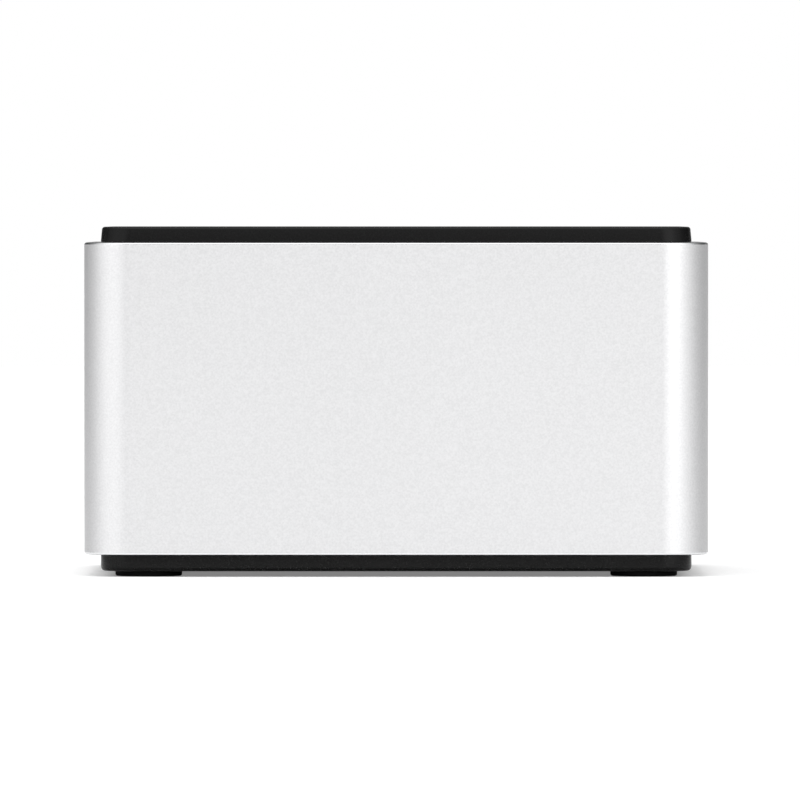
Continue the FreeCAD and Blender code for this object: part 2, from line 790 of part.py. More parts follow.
def make_flap(bay):
    """One dust flap: a plate in the slot with two arms that reach under the lid to the hinge pins."""
    body = new_body(f"{bay}_flap")
    y, depth = between(f"{slot_front(bay)} + flap_lead", f"{slot_back(bay)} - flap_gap")
    plate = rectangle(0, y, "slot_width - 2 * flap_gap", depth, "slot_corner - flap_gap")
    pad(body, "XY", "flap_under", "flap_top", plate)
    dress("Chamfer", body, "flap_edge", flat_at("Z", "flap_top"))
    arm_y, arm_length = between(f"{slot_back(bay)} - arm_reach", hinge_y(bay))
    arm_z, arm_height = between("hinge_z - arm_depth", "flap_under")
    for side in SIDES:
        inner = f"{side} * (knuckle_x - knuckle_length / 2)"
        outer = f"{side} * (knuckle_x + knuckle_length / 2)"
        pad(body, "YZ", inner, outer, rectangle(arm_y, arm_z, arm_length, arm_height))
        pad(body, "YZ", inner, outer, circle(hinge_y(bay), "hinge_z", "2 * knuckle_radius"))
    bore = circle(hinge_y(bay), "hinge_z", "pin_diameter + 2 * pin_play")
    pocket(body, "YZ", "-slot_width / 2", "slot_width / 2", bore)
    return keep(f"{bay}_flap", body)


def make_pins(bay):
    """The two steel hinge pins of one flap, held in the ears under the lid."""
    body = new_body(f"{bay}_flap_pins")
    for side in SIDES:
        inner = f"{side} * (hinge_x - hinge_span / 2 - ear_thickness)"
        outer = f"{side} * (hinge_x + hinge_span / 2 + ear_thickness)"
        pad(body, "YZ", inner, outer, circle(hinge_y(bay), "hinge_z", "pin_diameter"))
    return keep(f"{bay}_flap_pins", body)


def spring_shape(side, bay):
    """A torsion spring round one pin: a rear leg under the lid, the coil, and a front leg under the flap.

    The wire is six-sided and the coil has flats, so that four springs stay light.
    """
    radius, wire = value("coil_radius"), value("spring_wire") / 2
    pitch, turns = value("spring_pitch"), value("spring_turns")
    start_x, y, z = value("coil_start"), value(hinge_y(bay)), value("hinge_z")
    steps = round(turns * FLATS_PER_TURN)
    points = [Vector(side * start_x, y + value("spring_rear_leg"), z + radius)]
    for step in range(steps + 1):
        angle = 2 * math.pi * step / FLATS_PER_TURN
        along = start_x + pitch * step / FLATS_PER_TURN
        points.append(Vector(side * along, y - radius * math.sin(angle), z + radius * math.cos(angle)))
    points.append(points[-1] - Vector(0, value("spring_front_leg"), 0))
    path = Part.makePolygon(points)
    corners = []
    for corner in range(WIRE_SIDES + 1):
        angle = 2 * math.pi * corner / WIRE_SIDES
        corners.append(points[0] + Vector(wire * math.cos(angle), 0, wire * math.sin(angle)))
    pipe = Part.BRepOffsetAPI.MakePipeShell(path)
    pipe.setFrenetMode(False)
    pipe.setTransitionMode(1)
    pipe.add(Part.makePolygon(corners))
    pipe.build()
    pipe.makeSolid()
    return pipe.shape()


def make_springs(bay):
    """The two torsion springs of one flap, mirror images of each other."""
    members = []
    for side in SIDES:
        spring = doc.addObject("Part::Feature", f"{bay}_spring")
        spring.Shape = spring_shape(side, bay)
        members.append(spring)
    return group(f"{bay}_flap_springs", members)


def make_board():
    """The circuit board, on four standoffs, with holes for its own screws and those of the wells."""
    body = new_body("main_board")
    outline = rectangle(0, 0, "board_width", "board_depth", "board_corner")
    pad(body, "XY", "board_bottom", "board_top", outline)
    places = standoff_places()
    for bay in BAYS:
        places += screwed_columns(bay)
    holes = [circle(x, y, "small_hole") for x, y in places]
    pocket(body, "XY", "board_top", "board_bottom - board_thickness", *holes)
    return keep("main_board", body)


def cavity_places():
    """The two blades' cavities of a drive socket: the middle and width of each, from the socket's middle."""
    whole = "(signal_width + cavity_gap + power_width)"
    signal = f"-{whole} / 2 + signal_width / 2"
    power = f"{whole} / 2 - power_width / 2"
    return [(signal, "signal_width"), (power, "power_width")]


def make_socket(bay):
    """One drive socket: a tall housing with two keyed cavities and a guide horn at each end."""
    body = new_body(f"{bay}_drive_socket")
    y = f"{slot_front(bay)} + socket_offset"
    pad(body, "XY", "board_top", "socket_top", rectangle("-socket_x", y, "socket_width", "socket_thickness"))
    horn = "(socket_width - socket_horn_width) / 2"
    places = [f"-socket_x + {side} * {horn}" for side in SIDES]
    horns = [rectangle(x, y, "socket_horn_width", "socket_thickness") for x in places]
    pad(body, "XY", "socket_top", "socket_top + socket_horn_height", *horns)
    dress("Chamfer", body, "socket_horn_bevel", flat_at("Z", "socket_top + socket_horn_height"))
    for middle, width in cavity_places():
        x = f"-socket_x + {middle}"
        pocket(body, "XY", "socket_top", "contact_base", rectangle(x, y, width, "tongue_slot"))
        key_x = f"{x} - ({width}) / 2 + key_width / 2"
        key_y = f"{y} - tongue_slot / 2 + (key_overlap - key_length) / 2"
        key = rectangle(key_x, key_y, "key_width", "key_length + key_overlap")
        pocket(body, "XY", "socket_top", "contact_base", key)
    return keep(f"{bay}_drive_socket", body)


def make_contacts(bay):
    """The contact strips along the back wall of a socket's two cavities."""
    body = new_body(f"{bay}_socket_contacts")
    y = f"{slot_front(bay)} + socket_offset + tongue_slot / 2 - contact_thickness / 2"
    for (middle, _), count in zip(cavity_places(), (SIGNAL_CONTACTS, POWER_CONTACTS)):
        x = f"-socket_x + {middle} - ({count} - 1) / 2 * contact_pitch"
        strip = rectangle(x, y, "contact_width", "contact_thickness")
        first = pad(body, "XY", "contact_base", "contact_base + contact_height", strip)
        repeat(body, first, f"{count}", "contact_pitch")
    return keep(f"{bay}_socket_contacts", body)


def make_panel():
    """The port panel: a tray that fills the window from inside, with a flange behind the sleeve's wall."""
    body = new_body("port_panel")
    flange = rectangle(
        0,
        "window_middle",
        "window_width + 2 * panel_overlap",
        "window_height + 2 * panel_overlap",
        "window_corner + panel_overlap",
    )
    pad(body, "XZ", "panel_back", "inner_back", flange)
    wide, high = "window_width - 2 * panel_gap", "window_height - 2 * panel_gap"
    land = rectangle(0, "window_middle", wide, high, "window_corner - panel_gap")
    pad(body, "XZ", "inner_back", "panel_face", land)
    hollow = rectangle(
        0,
        "window_middle",
        f"{wide} - 2 * panel_skin",
        f"{high} - 2 * panel_skin",
        "window_corner - panel_gap - panel_skin",
    )
    pocket(body, "XZ", "panel_back", "panel_inside", hollow)
    usb = rectangle(
        "usb_x", "usb_z", "usb_width + 2 * usb_play", "usb_height + 2 * usb_play", "usb_corner + usb_play"
    )
    jack = circle("jack_x", "jack_z", "jack_window")
    buttons = [circle(x, "switch_z", "button_diameter + 2 * button_play") for x in button_places()]
    pocket(body, "XZ", "panel_inside - panel_skin", "back", usb, jack, *buttons)
    edge_of_panel = value("window_width / 2 - window_corner")
    at_face = flat_at("Y", "panel_face")
    dress("Chamfer", body, "port_bevel", lambda e: at_face(e) and is_port_edge(e, edge_of_panel))
    return keep("port_panel", body)


def is_port_edge(edge, edge_of_panel):
    """Whether an edge on the panel's face belongs to a port and not to the panel's own outline."""
    low, high = value("window_low + panel_gap"), value("window_low + window_height - panel_gap")
    box = edge.BoundBox
    within = box.ZMin > low + TOLERANCE and box.ZMax < high - TOLERANCE
    return within and max(abs(box.XMin), abs(box.XMax)) < edge_of_panel


def button_places():
    """Where the two push buttons lie across the panel."""
    first = "-window_width / 2 + button_margin"
    return [first, f"{first} + button_pitch"]


def make_usb():
    """The data port: a drawn shell with a round-ended mouth, and the tongue inside it."""
    shell = new_body("usb_shell")
    back = "usb_mouth - usb_length"
    pad(shell, "XZ", back, "usb_mouth", rectangle("usb_x", "usb_z", "usb_width", "usb_height", "usb_corner"))
    mouth = rectangle("usb_x", "usb_z", "usb_inner_width", "usb_inner_height", "usb_corner - usb_wall")
    pocket(shell, "XZ", "usb_mouth", "usb_mouth - usb_cavity", mouth)
    keep("usb_shell", shell)
    tongue = new_body("usb_tongue")
    blade = rectangle("usb_x", "usb_z", "usb_tongue_width", "usb_tongue_thickness")
    pad(tongue, "XZ", "usb_mouth - usb_cavity", "usb_mouth - usb_tongue_setback", blade)
    keep("usb_tongue", tongue)


def make_jack():
    """The power inlet: a moulded block with a round bore, and the contact pin in the middle of it."""
    body = new_body("power_jack")
    back = "jack_mouth - jack_length"
    block = rectangle("jack_x", "board_top + jack_height / 2", "jack_width", "jack_height")
    pad(body, "XZ", back, "jack_mouth", block)
    bore_end = "jack_mouth - jack_bore_depth"
    pocket(body, "XZ", "jack_mouth", bore_end, circle("jack_x", "jack_z", "jack_bore"))
    keep("power_jack", body)
    pin = new_body("power_jack_pin")
    tip = "jack_mouth - jack_pin_setback"
    pad(pin, "XZ", bore_end, tip, circle("jack_x", "jack_z", "jack_pin"))
    dress("Chamfer", pin, "jack_pin_bevel", flat_at("Y", tip))
    keep("power_jack_pin", pin)


def make_button(number, x):
    """One push button: the cap in the panel, the plunger behind it, and the switch on the board."""
    cap = new_body(f"power_button_{number}")
    pad(cap, "XZ", "button_back", "button_shoulder", circle(x, "switch_z", "button_flange_diameter"))
    pad(cap, "XZ", "button_shoulder", "button_face", circle(x, "switch_z", "button_diameter"))
    dress("Chamfer", cap, "button_edge", flat_at("Y", "button_face"))
    keep(f"power_button_{number}", cap)
    plunger = new_body(f"switch_plunger_{number}")
    rod = rectangle(x, "switch_z", "plunger_width", "plunger_width")
    pad(plunger, "XZ", "switch_mouth - plunger_depth + button_travel + plunger_play", "button_back", rod)
    keep(f"switch_plunger_{number}", plunger)
    switch = new_body(f"power_switch_{number}")
    block = rectangle(x, "switch_z", "switch_width", "switch_height")
    pad(switch, "XZ", "switch_mouth - switch_length", "switch_mouth", block)
    wide = "plunger_width + 2 * plunger_play"
    pocket(switch, "XZ", "switch_mouth", "switch_mouth - plunger_depth", rectangle(x, "switch_z", wide, wide))
    keep(f"power_switch_{number}", switch)


def make_lights():
    """The two status lights on the board and the clear pipes that carry them to the lid."""
    leds = new_body("status_leds")
    outlines = [rectangle(f"{side} * pipe_x", light_y(), "led_width", "led_depth") for side in SIDES]
    pad(leds, "XY", "board_top", "led_top", *outlines)
    keep("status_leds", leds)
    for name, side in (("left", -1), ("right", 1)):
        pipe = new_body(f"light_pipe_{name}")
        rod = circle(f"{side} * pipe_x", light_y(), "pipe_diameter")
        pad(pipe, "XY", "pipe_bottom", "lid_top - pipe_recess", rod)
        keep(f"light_pipe_{name}", pipe)


def light_y():
    """Where the lights stand: midway between the front well and the rim inside the sleeve."""
    return f"(({slot_front('front')} - well_gap - well_wall) - cavity_length / 2) / 2"


def make_screws(label, places, seat, up, head, shank):
    """A group of like screws: six-sided heads with cross recesses, and shanks on the seat's other side."""
    body = new_body(label)
    head_across, head_height = head
    shank_diameter, shank_length = shank
    way, back = ("+", "-") if up else ("-", "+")
    top = f"{seat} {back} {head_height}"
    pad(body, "XY", seat, top, *[hexagon(x, y, head_across) for x, y in places])
    pad(body, "XY", seat, f"{seat} {way} {shank_length}", *[circle(x, y, shank_diameter) for x, y in places])
    for wide, high in (("recess_length", "recess_width"), ("recess_width", "recess_length")):
        slots = [rectangle(x, y, wide, high) for x, y in places]
        pocket(body, "XY", top, f"{top} {way} recess_depth", *slots)
    return keep(label, body)


def make_all_screws():
    """The screws: base to pillars, board to standoffs, and board to the columns of the wells."""
    base_head = ("base_head_across", "base_head_height")
    small_head = ("small_head_across", "small_head_height")
    base_shank = ("(pillar_pilot - 2 * pilot_play)", "base_screw_length")
    small_shank = ("(small_pilot - 2 * pilot_play)", "small_screw_length")
    make_screws("base_screws", pillar_places(), "screw_seat", True, base_head, base_shank)
    make_screws("board_screws", standoff_places(), "board_top", False, small_head, small_shank)
    for bay in BAYS:
        make_screws(f"{bay}_well_screws", screwed_columns(bay), "board_bottom", True, small_head, small_shank)


def make_board_parts():
    """What else stands on the board: two chips, capacitors and power coils."""
    chips = new_body("bridge_chips")
    chip_top = "board_top + chip_height"
    squares = [rectangle("chip_x", f"{side} * chip_width", "chip_width", "chip_width") for side in SIDES]
    pad(chips, "XY", "board_top", chip_top, *squares)
    dress("Chamfer", chips, "chip_bevel", flat_at("Z", chip_top))
    keep("bridge_chips", chips)
    cans = new_body("capacitors")
    can_top = "board_top + capacitor_height"
    rows = [f"{n - (CAPACITORS - 1) / 2} * capacitor_pitch" for n in range(CAPACITORS)]
    pad(cans, "XY", "board_top", can_top, *[circle("capacitor_x", y, "capacitor_diameter") for y in rows])
    keep("capacitors", cans)
    coils = new_body("power_coils")
    rows = [f"{n - (COILS - 1) / 2} * coil_pitch" for n in range(COILS)]
    blocks = [rectangle("coil_x", y, "coil_width", "coil_width") for y in rows]
    pad(coils, "XY", "board_top", "board_top + coil_height", *blocks)
    keep("power_coils", coils)


def make_all():
    """Every piece of the docking station, from the outside in."""
    make_sleeve()
    make_lid()
    make_pillars()
    make_base()
    for x, y in CORNERS:
        make_foot(f"foot_{'front' if y < 0 else 'rear'}_{'left' if x < 0 else 'right'}", x, y)
    make_panel()
    for bay in BAYS:
        make_well(bay)
        make_flap(bay)
        make_pins(bay)
        make_springs(bay)
        make_socket(bay)
        make_contacts(bay)
    make_board()
    make_usb()
    make_jack()
    for number, x in enumerate(button_places(), start=1):
        make_button(number, x)
    make_lights()
    make_all_screws()
    make_board_parts()


def check():
    """Stops if any object failed, or any node's shape is missing, broken or empty."""
    failed = [item.Name for item in doc.Objects if {"Invalid", "Error"} & set(item.State)]
    for label, thing in nodes.items():
        shape = thing.Shape
        if shape.isNull() or not shape.isValid() or not shape.Solids or shape.Volume < TOLERANCE:
            failed.append(label)
    if failed:
        raise RuntimeError("these failed: " + ", ".join(failed))


def export():
    """Writes each node's solids to its own file."""
    os.makedirs("parts", exist_ok=True)
    for label, thing in nodes.items():
        thing.Shape.exportStep(f"parts/{label}.step")
    print(f"{len(nodes)} nodes written")


sizes = make_sheet()
make_all()
doc.recompute()
check()
export()
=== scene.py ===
"""Studio scene of a two-bay docking station for bare drives.

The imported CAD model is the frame. The pieces that show are modelled again here with round edges and fine
surfaces, each in the place of its CAD node, and the rest of the nodes get finishes of their own. All sizes
are in millimetres, in the CAD's own frame: X to the right, Y to the back, Z up, the origin on the table.
"""

import logging
import math
from contextlib import contextmanager
from dataclasses import dataclass, field
from enum import Enum
from typing import Any, Callable, Iterator, Sequence

import bmesh
import bpy
from mathutils import Matrix, Vector


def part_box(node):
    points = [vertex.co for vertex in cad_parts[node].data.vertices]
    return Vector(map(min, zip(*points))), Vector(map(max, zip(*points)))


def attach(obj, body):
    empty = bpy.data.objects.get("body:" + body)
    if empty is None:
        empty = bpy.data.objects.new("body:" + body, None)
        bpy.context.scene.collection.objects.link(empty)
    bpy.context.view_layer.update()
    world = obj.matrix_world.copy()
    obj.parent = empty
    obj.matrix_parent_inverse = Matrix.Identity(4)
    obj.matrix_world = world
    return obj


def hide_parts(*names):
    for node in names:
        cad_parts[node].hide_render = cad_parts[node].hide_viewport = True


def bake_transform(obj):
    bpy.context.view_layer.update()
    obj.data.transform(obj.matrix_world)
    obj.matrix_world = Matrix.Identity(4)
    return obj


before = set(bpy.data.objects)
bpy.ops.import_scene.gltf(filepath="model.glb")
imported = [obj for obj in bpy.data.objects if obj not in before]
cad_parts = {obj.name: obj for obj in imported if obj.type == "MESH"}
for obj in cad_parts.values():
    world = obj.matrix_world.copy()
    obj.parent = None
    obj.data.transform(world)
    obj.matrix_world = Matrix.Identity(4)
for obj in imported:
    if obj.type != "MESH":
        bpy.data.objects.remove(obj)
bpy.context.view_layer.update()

MM = 0.001
CHASSIS = "chassis"
BUTTONS = (1, 2)
FOOT_NODES = ("foot_front_left", "foot_front_right", "foot_rear_left", "foot_rear_right")
LIGHT_PIPES = ("light_pipe_left", "light_pipe_right")
WHITE = "FFFFFF"

# How near two places count as the same and how near a level counts as reached, in millimetres.
SAME = 0.001
CLOSE = 0.01
# How near the axis the middle of a round face lies, in millimetres.
CENTRAL = 0.1
# The cosine above which a face counts as square to an axis.
SQUARE = 0.99
# The angles between faces, in degrees, from which an edge is broken and from which it is shaded sharp.
BREAK_ANGLE = 40
SHARP_ANGLE = 35
# How far a cutter runs past what it cuts, in millimetres.
PAST = 1.0

log = logging.getLogger("docking_station")

Piece = bpy.types.Object
Tree = bpy.types.NodeTree
Node = bpy.types.Node
Socket = bpy.types.NodeSocket
Test = Callable[[Vector, Vector], bool]


class Axis(Enum):
    """A direction of the frame, by its place in a vector."""

    X = 0
    Y = 1
    Z = 2


class Pick(Enum):
    """What a selection in edit mode is made of."""

    EDGE = "EDGE"
    FACE = "FACE"


class Combine(Enum):
    """How two shapes are made one."""

    CUT = "DIFFERENCE"
    ADD = "UNION"


class Side(Enum):
    """The two sides of the middle plane, by the sign of X."""

    LEFT = -1
    RIGHT = 1


class Bay(Enum):
    """The two drive bays, as they are named in the frame."""

    FRONT = "front"
    REAR = "rear"


class Outline(Enum):
    """The outline of a box, by the axes that it spans."""

    FROM_ABOVE = (Axis.X, Axis.Y)
    FROM_BEHIND = (Axis.X, Axis.Z)


@dataclass(frozen=True)
class Round:
    """A rounded edge: how far it reaches along its faces, and the steps that stand for the round."""

    width: float
    steps: int


@dataclass(frozen=True)
class Box:
    """A block of space, in millimetres."""

    low: Vector
    high: Vector

    @classmethod
    def of(cls, node: str) -> "Box":
        """The space that a CAD node fills at rest."""
        low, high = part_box(node)
        return cls(Vector(low) / MM, Vector(high) / MM)

    @classmethod
    def about(cls, middle: Sequence[float], size: Sequence[float]) -> "Box":
        """A box by its middle and its size."""
        half = Vector(size) / 2
        return cls(Vector(middle) - half, Vector(middle) + half)

    @property
    def middle(self) -> Vector:
        """The middle of the box."""
        return (self.low + self.high) / 2

    @property
    def size(self) -> Vector:
        """How far the box reaches along each axis."""
        return self.high - self.low

    def holds(self, outline: Outline, point: Vector, margin: float = 0.0) -> bool:
        """Whether a point lies in an outline of the box, or within a margin of it."""
        places = [axis.value for axis in outline.value]
        return all(self.low[n] - margin < point[n] < self.high[n] + margin for n in places)


# Modelling


def deselect() -> None:
    """Leaves no object selected, because operators act on all that is."""
    bpy.ops.object.select_all(action="DESELECT")


def make_active(piece: Piece) -> None:
    """Selects one object alone and makes it the active one.

    Args:
        piece: the object.
    """
    deselect()
    piece.select_set(True)
    bpy.context.view_layer.objects.active = piece


@contextmanager
def edit_mode(piece: Piece, pick: Pick) -> Iterator[None]:
    """Edit mode on one object, with nothing selected to begin with.

    Args:
        piece: the object to edit.
        pick: whether edges or faces are selected.
    """
    make_active(piece)
    bpy.ops.object.mode_set(mode="EDIT")
    bpy.ops.mesh.select_mode(type=pick.value)
    bpy.ops.mesh.select_all(action="DESELECT")
    yield
    bpy.ops.object.mode_set(mode="OBJECT")


def select_faces(piece: Piece, wanted: Test) -> None:
    """Selects the faces that pass a test.

    Args:
        piece: the object in edit mode.
        wanted: tells from a face's middle, in millimetres, and its normal whether it is selected.
    """
    mesh = bmesh.from_edit_mesh(piece.data)
    for face in mesh.faces:
        face.select_set(wanted(face.calc_center_median() / MM, face.normal))
    bmesh.update_edit_mesh(piece.data)


def select_edges(piece: Piece, wanted: Test) -> None:
    """Selects the edges that pass a test.

    Args:
        piece: the object in edit mode.
        wanted: tells from an edge's two ends, in millimetres, whether it is selected.
    """
    mesh = bmesh.from_edit_mesh(piece.data)
    for edge in mesh.edges:
        first, second = edge.verts
        edge.select_set(wanted(first.co / MM, second.co / MM))
    bmesh.update_edit_mesh(piece.data)


def add_block(name: str, box: Box) -> Piece:
    """A plain block to model from.

    Args:
        name: the new object's name.
        box: the space that it fills.

    Returns:
        The object, with its place in its mesh.
    """
    deselect()
    bpy.ops.mesh.primitive_cube_add(size=1, location=box.middle * MM)
    block = bpy.context.active_object
    block.name = name
    block.scale = box.size * MM
    bpy.ops.object.transform_apply(location=True, rotation=True, scale=True)
    return block


def add_rod(
    name: str,
    axis: Axis,
    start: Sequence[float],
    length: float,
    radius: float,
    sides: int = 64,
    spin: float = 0.0,
) -> Piece:
    """A plain rod to model from.

    Args:
        name: the new object's name.
        axis: the direction that it runs in.
        start: the middle of its first end.
        length: how far it runs.
        radius: its radius, out to the corners between its sides.
        sides: how many sides stand for the round.
        spin: how far an upright rod is turned, in radians.

    Returns:
        The object, with its place in its mesh.
    """
    quarter = math.pi / 2
    turn = {Axis.X: (0, quarter, 0), Axis.Y: (quarter, 0, 0), Axis.Z: (0, 0, spin)}[axis]
    middle = Vector(start)
    middle[axis.value] += length / 2
    deselect()
    bpy.ops.mesh.primitive_cylinder_add(
        vertices=sides, radius=radius * MM, depth=length * MM, location=middle * MM, rotation=turn
    )
    rod = bpy.context.active_object
    rod.name = name
    bpy.ops.object.transform_apply(location=True, rotation=True, scale=True)
    return rod


def hexagon_radius(across: float) -> float:
    """How far the corners of a hexagon lie from its middle, from its width between flats."""
    return across / math.sqrt(3)


def add_hexagon(name: str, start: Sequence[float], length: float, across: float) -> Piece:
    """A six-sided rod that runs upwards, with flats to the front and the back, by its width between them."""
    return add_rod(name, Axis.Z, start, length, hexagon_radius(across), sides=6, spin=math.pi / 2)


def four_places(node: str, across: float) -> list[Vector]:
    """The middles of a node's four six-sided pieces, one near each corner of its box.

    Args:
        node: the node's name in the frame.
        across: the pieces' width from flat to flat.

    Returns:
        Four points at the level of the table.
    """
    box = Box.of(node)
    reach_x = hexagon_radius(across)
    reach_y = across / 2
    columns = (box.low.x + reach_x, box.high.x - reach_x)
    rows = (box.low.y + reach_y, box.high.y - reach_y)
    return [Vector((x, y, 0)) for x in columns for y in rows]


def runs_along(axis: Axis) -> Test:
    """A test for edges that run straight along one axis."""
    others = [other.value for other in Axis if other is not axis]
    return lambda a, b: all(abs(a[n] - b[n]) < SAME for n in others)


def lies_at(axis: Axis, level: float) -> Test:
    """A test for edges that lie wholly at one level of an axis, in millimetres."""
    return lambda a, b: abs(a[axis.value] - level) < CLOSE and abs(b[axis.value] - level) < CLOSE


def faces_at(axis: Axis, level: float) -> Test:
    """A test for flat faces across an axis, at one level of it in millimetres."""
    return lambda at, normal: abs(normal[axis.value]) > SQUARE and abs(at[axis.value] - level) < CLOSE


def bevel_edges(piece: Piece, wanted: Test, edge: Round) -> None:
    """Rounds the edges that pass a test.

    Args:
        piece: the object to work on.
        wanted: the test for an edge's two ends.
        edge: the round that they get.
    """
    with edit_mode(piece, Pick.EDGE):
        select_edges(piece, wanted)
        bpy.ops.mesh.bevel(offset=edge.width * MM, segments=edge.steps, affect="EDGES", clamp_overlap=False)


def inset_faces(piece: Piece, wanted: Test, margin: float, rise: Sequence[float] | None = None) -> None:
    """Insets faces by a margin, then extrudes what is inside it.

    Args:
        piece: the object to work on.
        wanted: the test for a face's middle and normal.
        margin: how far in from the face's own outline.
        rise: how far the inner face is then extruded, along X, Y and Z, if at all.
    """
    with edit_mode(piece, Pick.FACE):
        select_faces(piece, wanted)
        bpy.ops.mesh.inset(thickness=margin * MM, depth=0)
        if rise:
            bpy.ops.mesh.extrude_region_move(TRANSFORM_OT_translate={"value": Vector(rise) * MM})


def sink_faces(piece: Piece, wanted: Test, depth: float) -> None:
    """Sinks faces to a shallow dish, with a border twice as wide as it is deep.

    Args:
        piece: the object to work on.
        wanted: the test for a face's middle and normal.
        depth: how deep the dish is.
    """
    with edit_mode(piece, Pick.FACE):
        select_faces(piece, wanted)
        bpy.ops.mesh.inset(thickness=2 * depth * MM, depth=-depth * MM)


def bridge_faces(piece: Piece, wanted: Test) -> None:
    """Opens a hole between two faces.

    Args:
        piece: the object to work on.
        wanted: the test for a face's middle and normal.
    """
    with edit_mode(piece, Pick.FACE):
        select_faces(piece, wanted)
        bpy.ops.mesh.bridge_edge_loops()


def slice_across(piece: Piece, axis: Axis, level: float) -> None:
    """Divides a piece's faces along a plane, without cutting the piece apart.

    Args:
        piece: the object to work on.
        axis: the axis that the plane is square to.
        level: where the plane lies on it.
    """
    point = Vector()
    point[axis.value] = level * MM
    normal = Vector()
    normal[axis.value] = 1
    with edit_mode(piece, Pick.FACE):
        bpy.ops.mesh.select_all(action="SELECT")
        bpy.ops.mesh.bisect(plane_co=point, plane_no=normal)


def apply_modifiers(piece: Piece) -> None:
    """Makes the modifiers of a piece part of its mesh.

    Args:
        piece: the object to work on.
    """
    make_active(piece)
    for modifier in list(piece.modifiers):
        bpy.ops.object.modifier_apply(modifier=modifier.name)


def combine(piece: Piece, other: Piece, how: Combine = Combine.CUT) -> None:
    """Cuts one shape out of another or adds it, and removes the second.

    Args:
        piece: the object to work on.
        other: the shape that is cut out of it or added to it.
        how: whether it is cut or added.
    """
    modifier = piece.modifiers.new(how.name, "BOOLEAN")
    modifier.operation = how.value
    modifier.solver = "EXACT"
    modifier.object = other
    apply_modifiers(piece)
    bpy.data.objects.remove(other)


def join(piece: Piece, others: Sequence[Piece]) -> None:
    """Makes several objects one.

    Args:
        piece: the object that they become.
        others: the objects that go into it.
    """
    make_active(piece)
    for other in others:
        other.select_set(True)
    bpy.ops.object.join()


def copy_of(piece: Piece, name: str, shift: Vector) -> Piece:
    """A copy of a piece, with a mesh of its own.

    Args:
        piece: the piece to copy.
        name: the copy's name.
        shift: how far from the piece the copy lies.

    Returns:
        The copy, with its place in its mesh.
    """
    copy = piece.copy()
    copy.data = piece.data.copy()
    copy.data.transform(Matrix.Translation(shift * MM))
    copy.name = name
    bpy.context.collection.objects.link(copy)
    return copy


def repeated(piece: Piece, places: Sequence[Vector]) -> list[Piece]:
    """A piece that is modelled at the first of several places, with its copies at the others."""
    return [piece, *(copy_of(piece, piece.name, place - places[0]) for place in places[1:])]


def break_edges(piece: Piece, edge: Round, material: int = -1) -> None:
    """Takes the sharpness off every sharp edge of a piece.

    Args:
        piece: the object to work on.
        edge: the round that they get.
        material: the slot of the rounds' own material, or -1 for that of the faces beside them.
    """
    while len(piece.data.materials) <= material:
        piece.data.materials.append(None)
    modifier = piece.modifiers.new("edges", "BEVEL")
    modifier.width = edge.width * MM
    modifier.segments = edge.steps
    modifier.limit_method = "ANGLE"
    modifier.angle_limit = math.radians(BREAK_ANGLE)
    modifier.material = material
    modifier.harden_normals = False
    apply_modifiers(piece)


def smooth(piece: Piece) -> None:
    """Shades the round stretches of a piece smooth and keeps its flats flat.

    Args:
        piece: the object to work on.
    """
    make_active(piece)
    bpy.ops.object.shade_smooth_by_angle(angle=math.radians(SHARP_ANGLE))
    modifier = piece.modifiers.new("normals", "WEIGHTED_NORMAL")
    modifier.keep_sharp = True
    apply_modifiers(piece)


def settle(piece: Piece, body: str, finishes: Sequence["Finish"], node: str) -> None:
    """Dresses a finished piece, ties it to its body and hides the node that it stands for.

    Args:
        piece: the finished object.
        body: the body that it moves with.
        finishes: what it is made of, in the order of its material slots.
        node: the CAD node that it stands for.
    """
    piece.data.name = piece.name
    slots = piece.data.materials
    while len(slots) < len(finishes):
        slots.append(None)
    for number, finish in enumerate(finishes):
        slots[number] = finish.material()
    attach(piece, body)
    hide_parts(node)
    log.info("%s rides on %s, %d faces", piece.name, body, len(piece.data.polygons))


# Finishes


def linear(colour: str) -> tuple[float, float, float, float]:
    """An sRGB hex colour as the linear numbers that a shader takes.

    Args:
        colour: six hex digits.

    Returns:
        Red, green, blue and alpha.
    """
    channels = [int(colour[n:n + 2], 16) / 255 for n in (0, 2, 4)]
    # The sRGB curve is a straight line near black and a power above it.
    red, green, blue = (c / 12.92 if c <= 0.04045 else ((c + 0.055) / 1.055) ** 2.4 for c in channels)
    return red, green, blue, 1.0


def add_node(
    tree: Tree,
    kind: str,
    settings: dict[str, Any] | None = None,
    links: dict[str, Socket] | None = None,
) -> Node:
    """Adds a node with its settings and links.

    Args:
        tree: the tree that it goes into.
        kind: the node's type name.
        settings: values for its inputs, or for its own properties where no input has that name.
        links: sockets that feed its inputs.

    Returns:
        The new node.
    """
    node = tree.nodes.new(kind)
    for name, setting in (settings or {}).items():
        if name in node.inputs:
            node.inputs[name].default_value = setting
        else:
            setattr(node, name, setting)
    for name, source in (links or {}).items():
        tree.links.new(node.inputs[name], source)
    return node


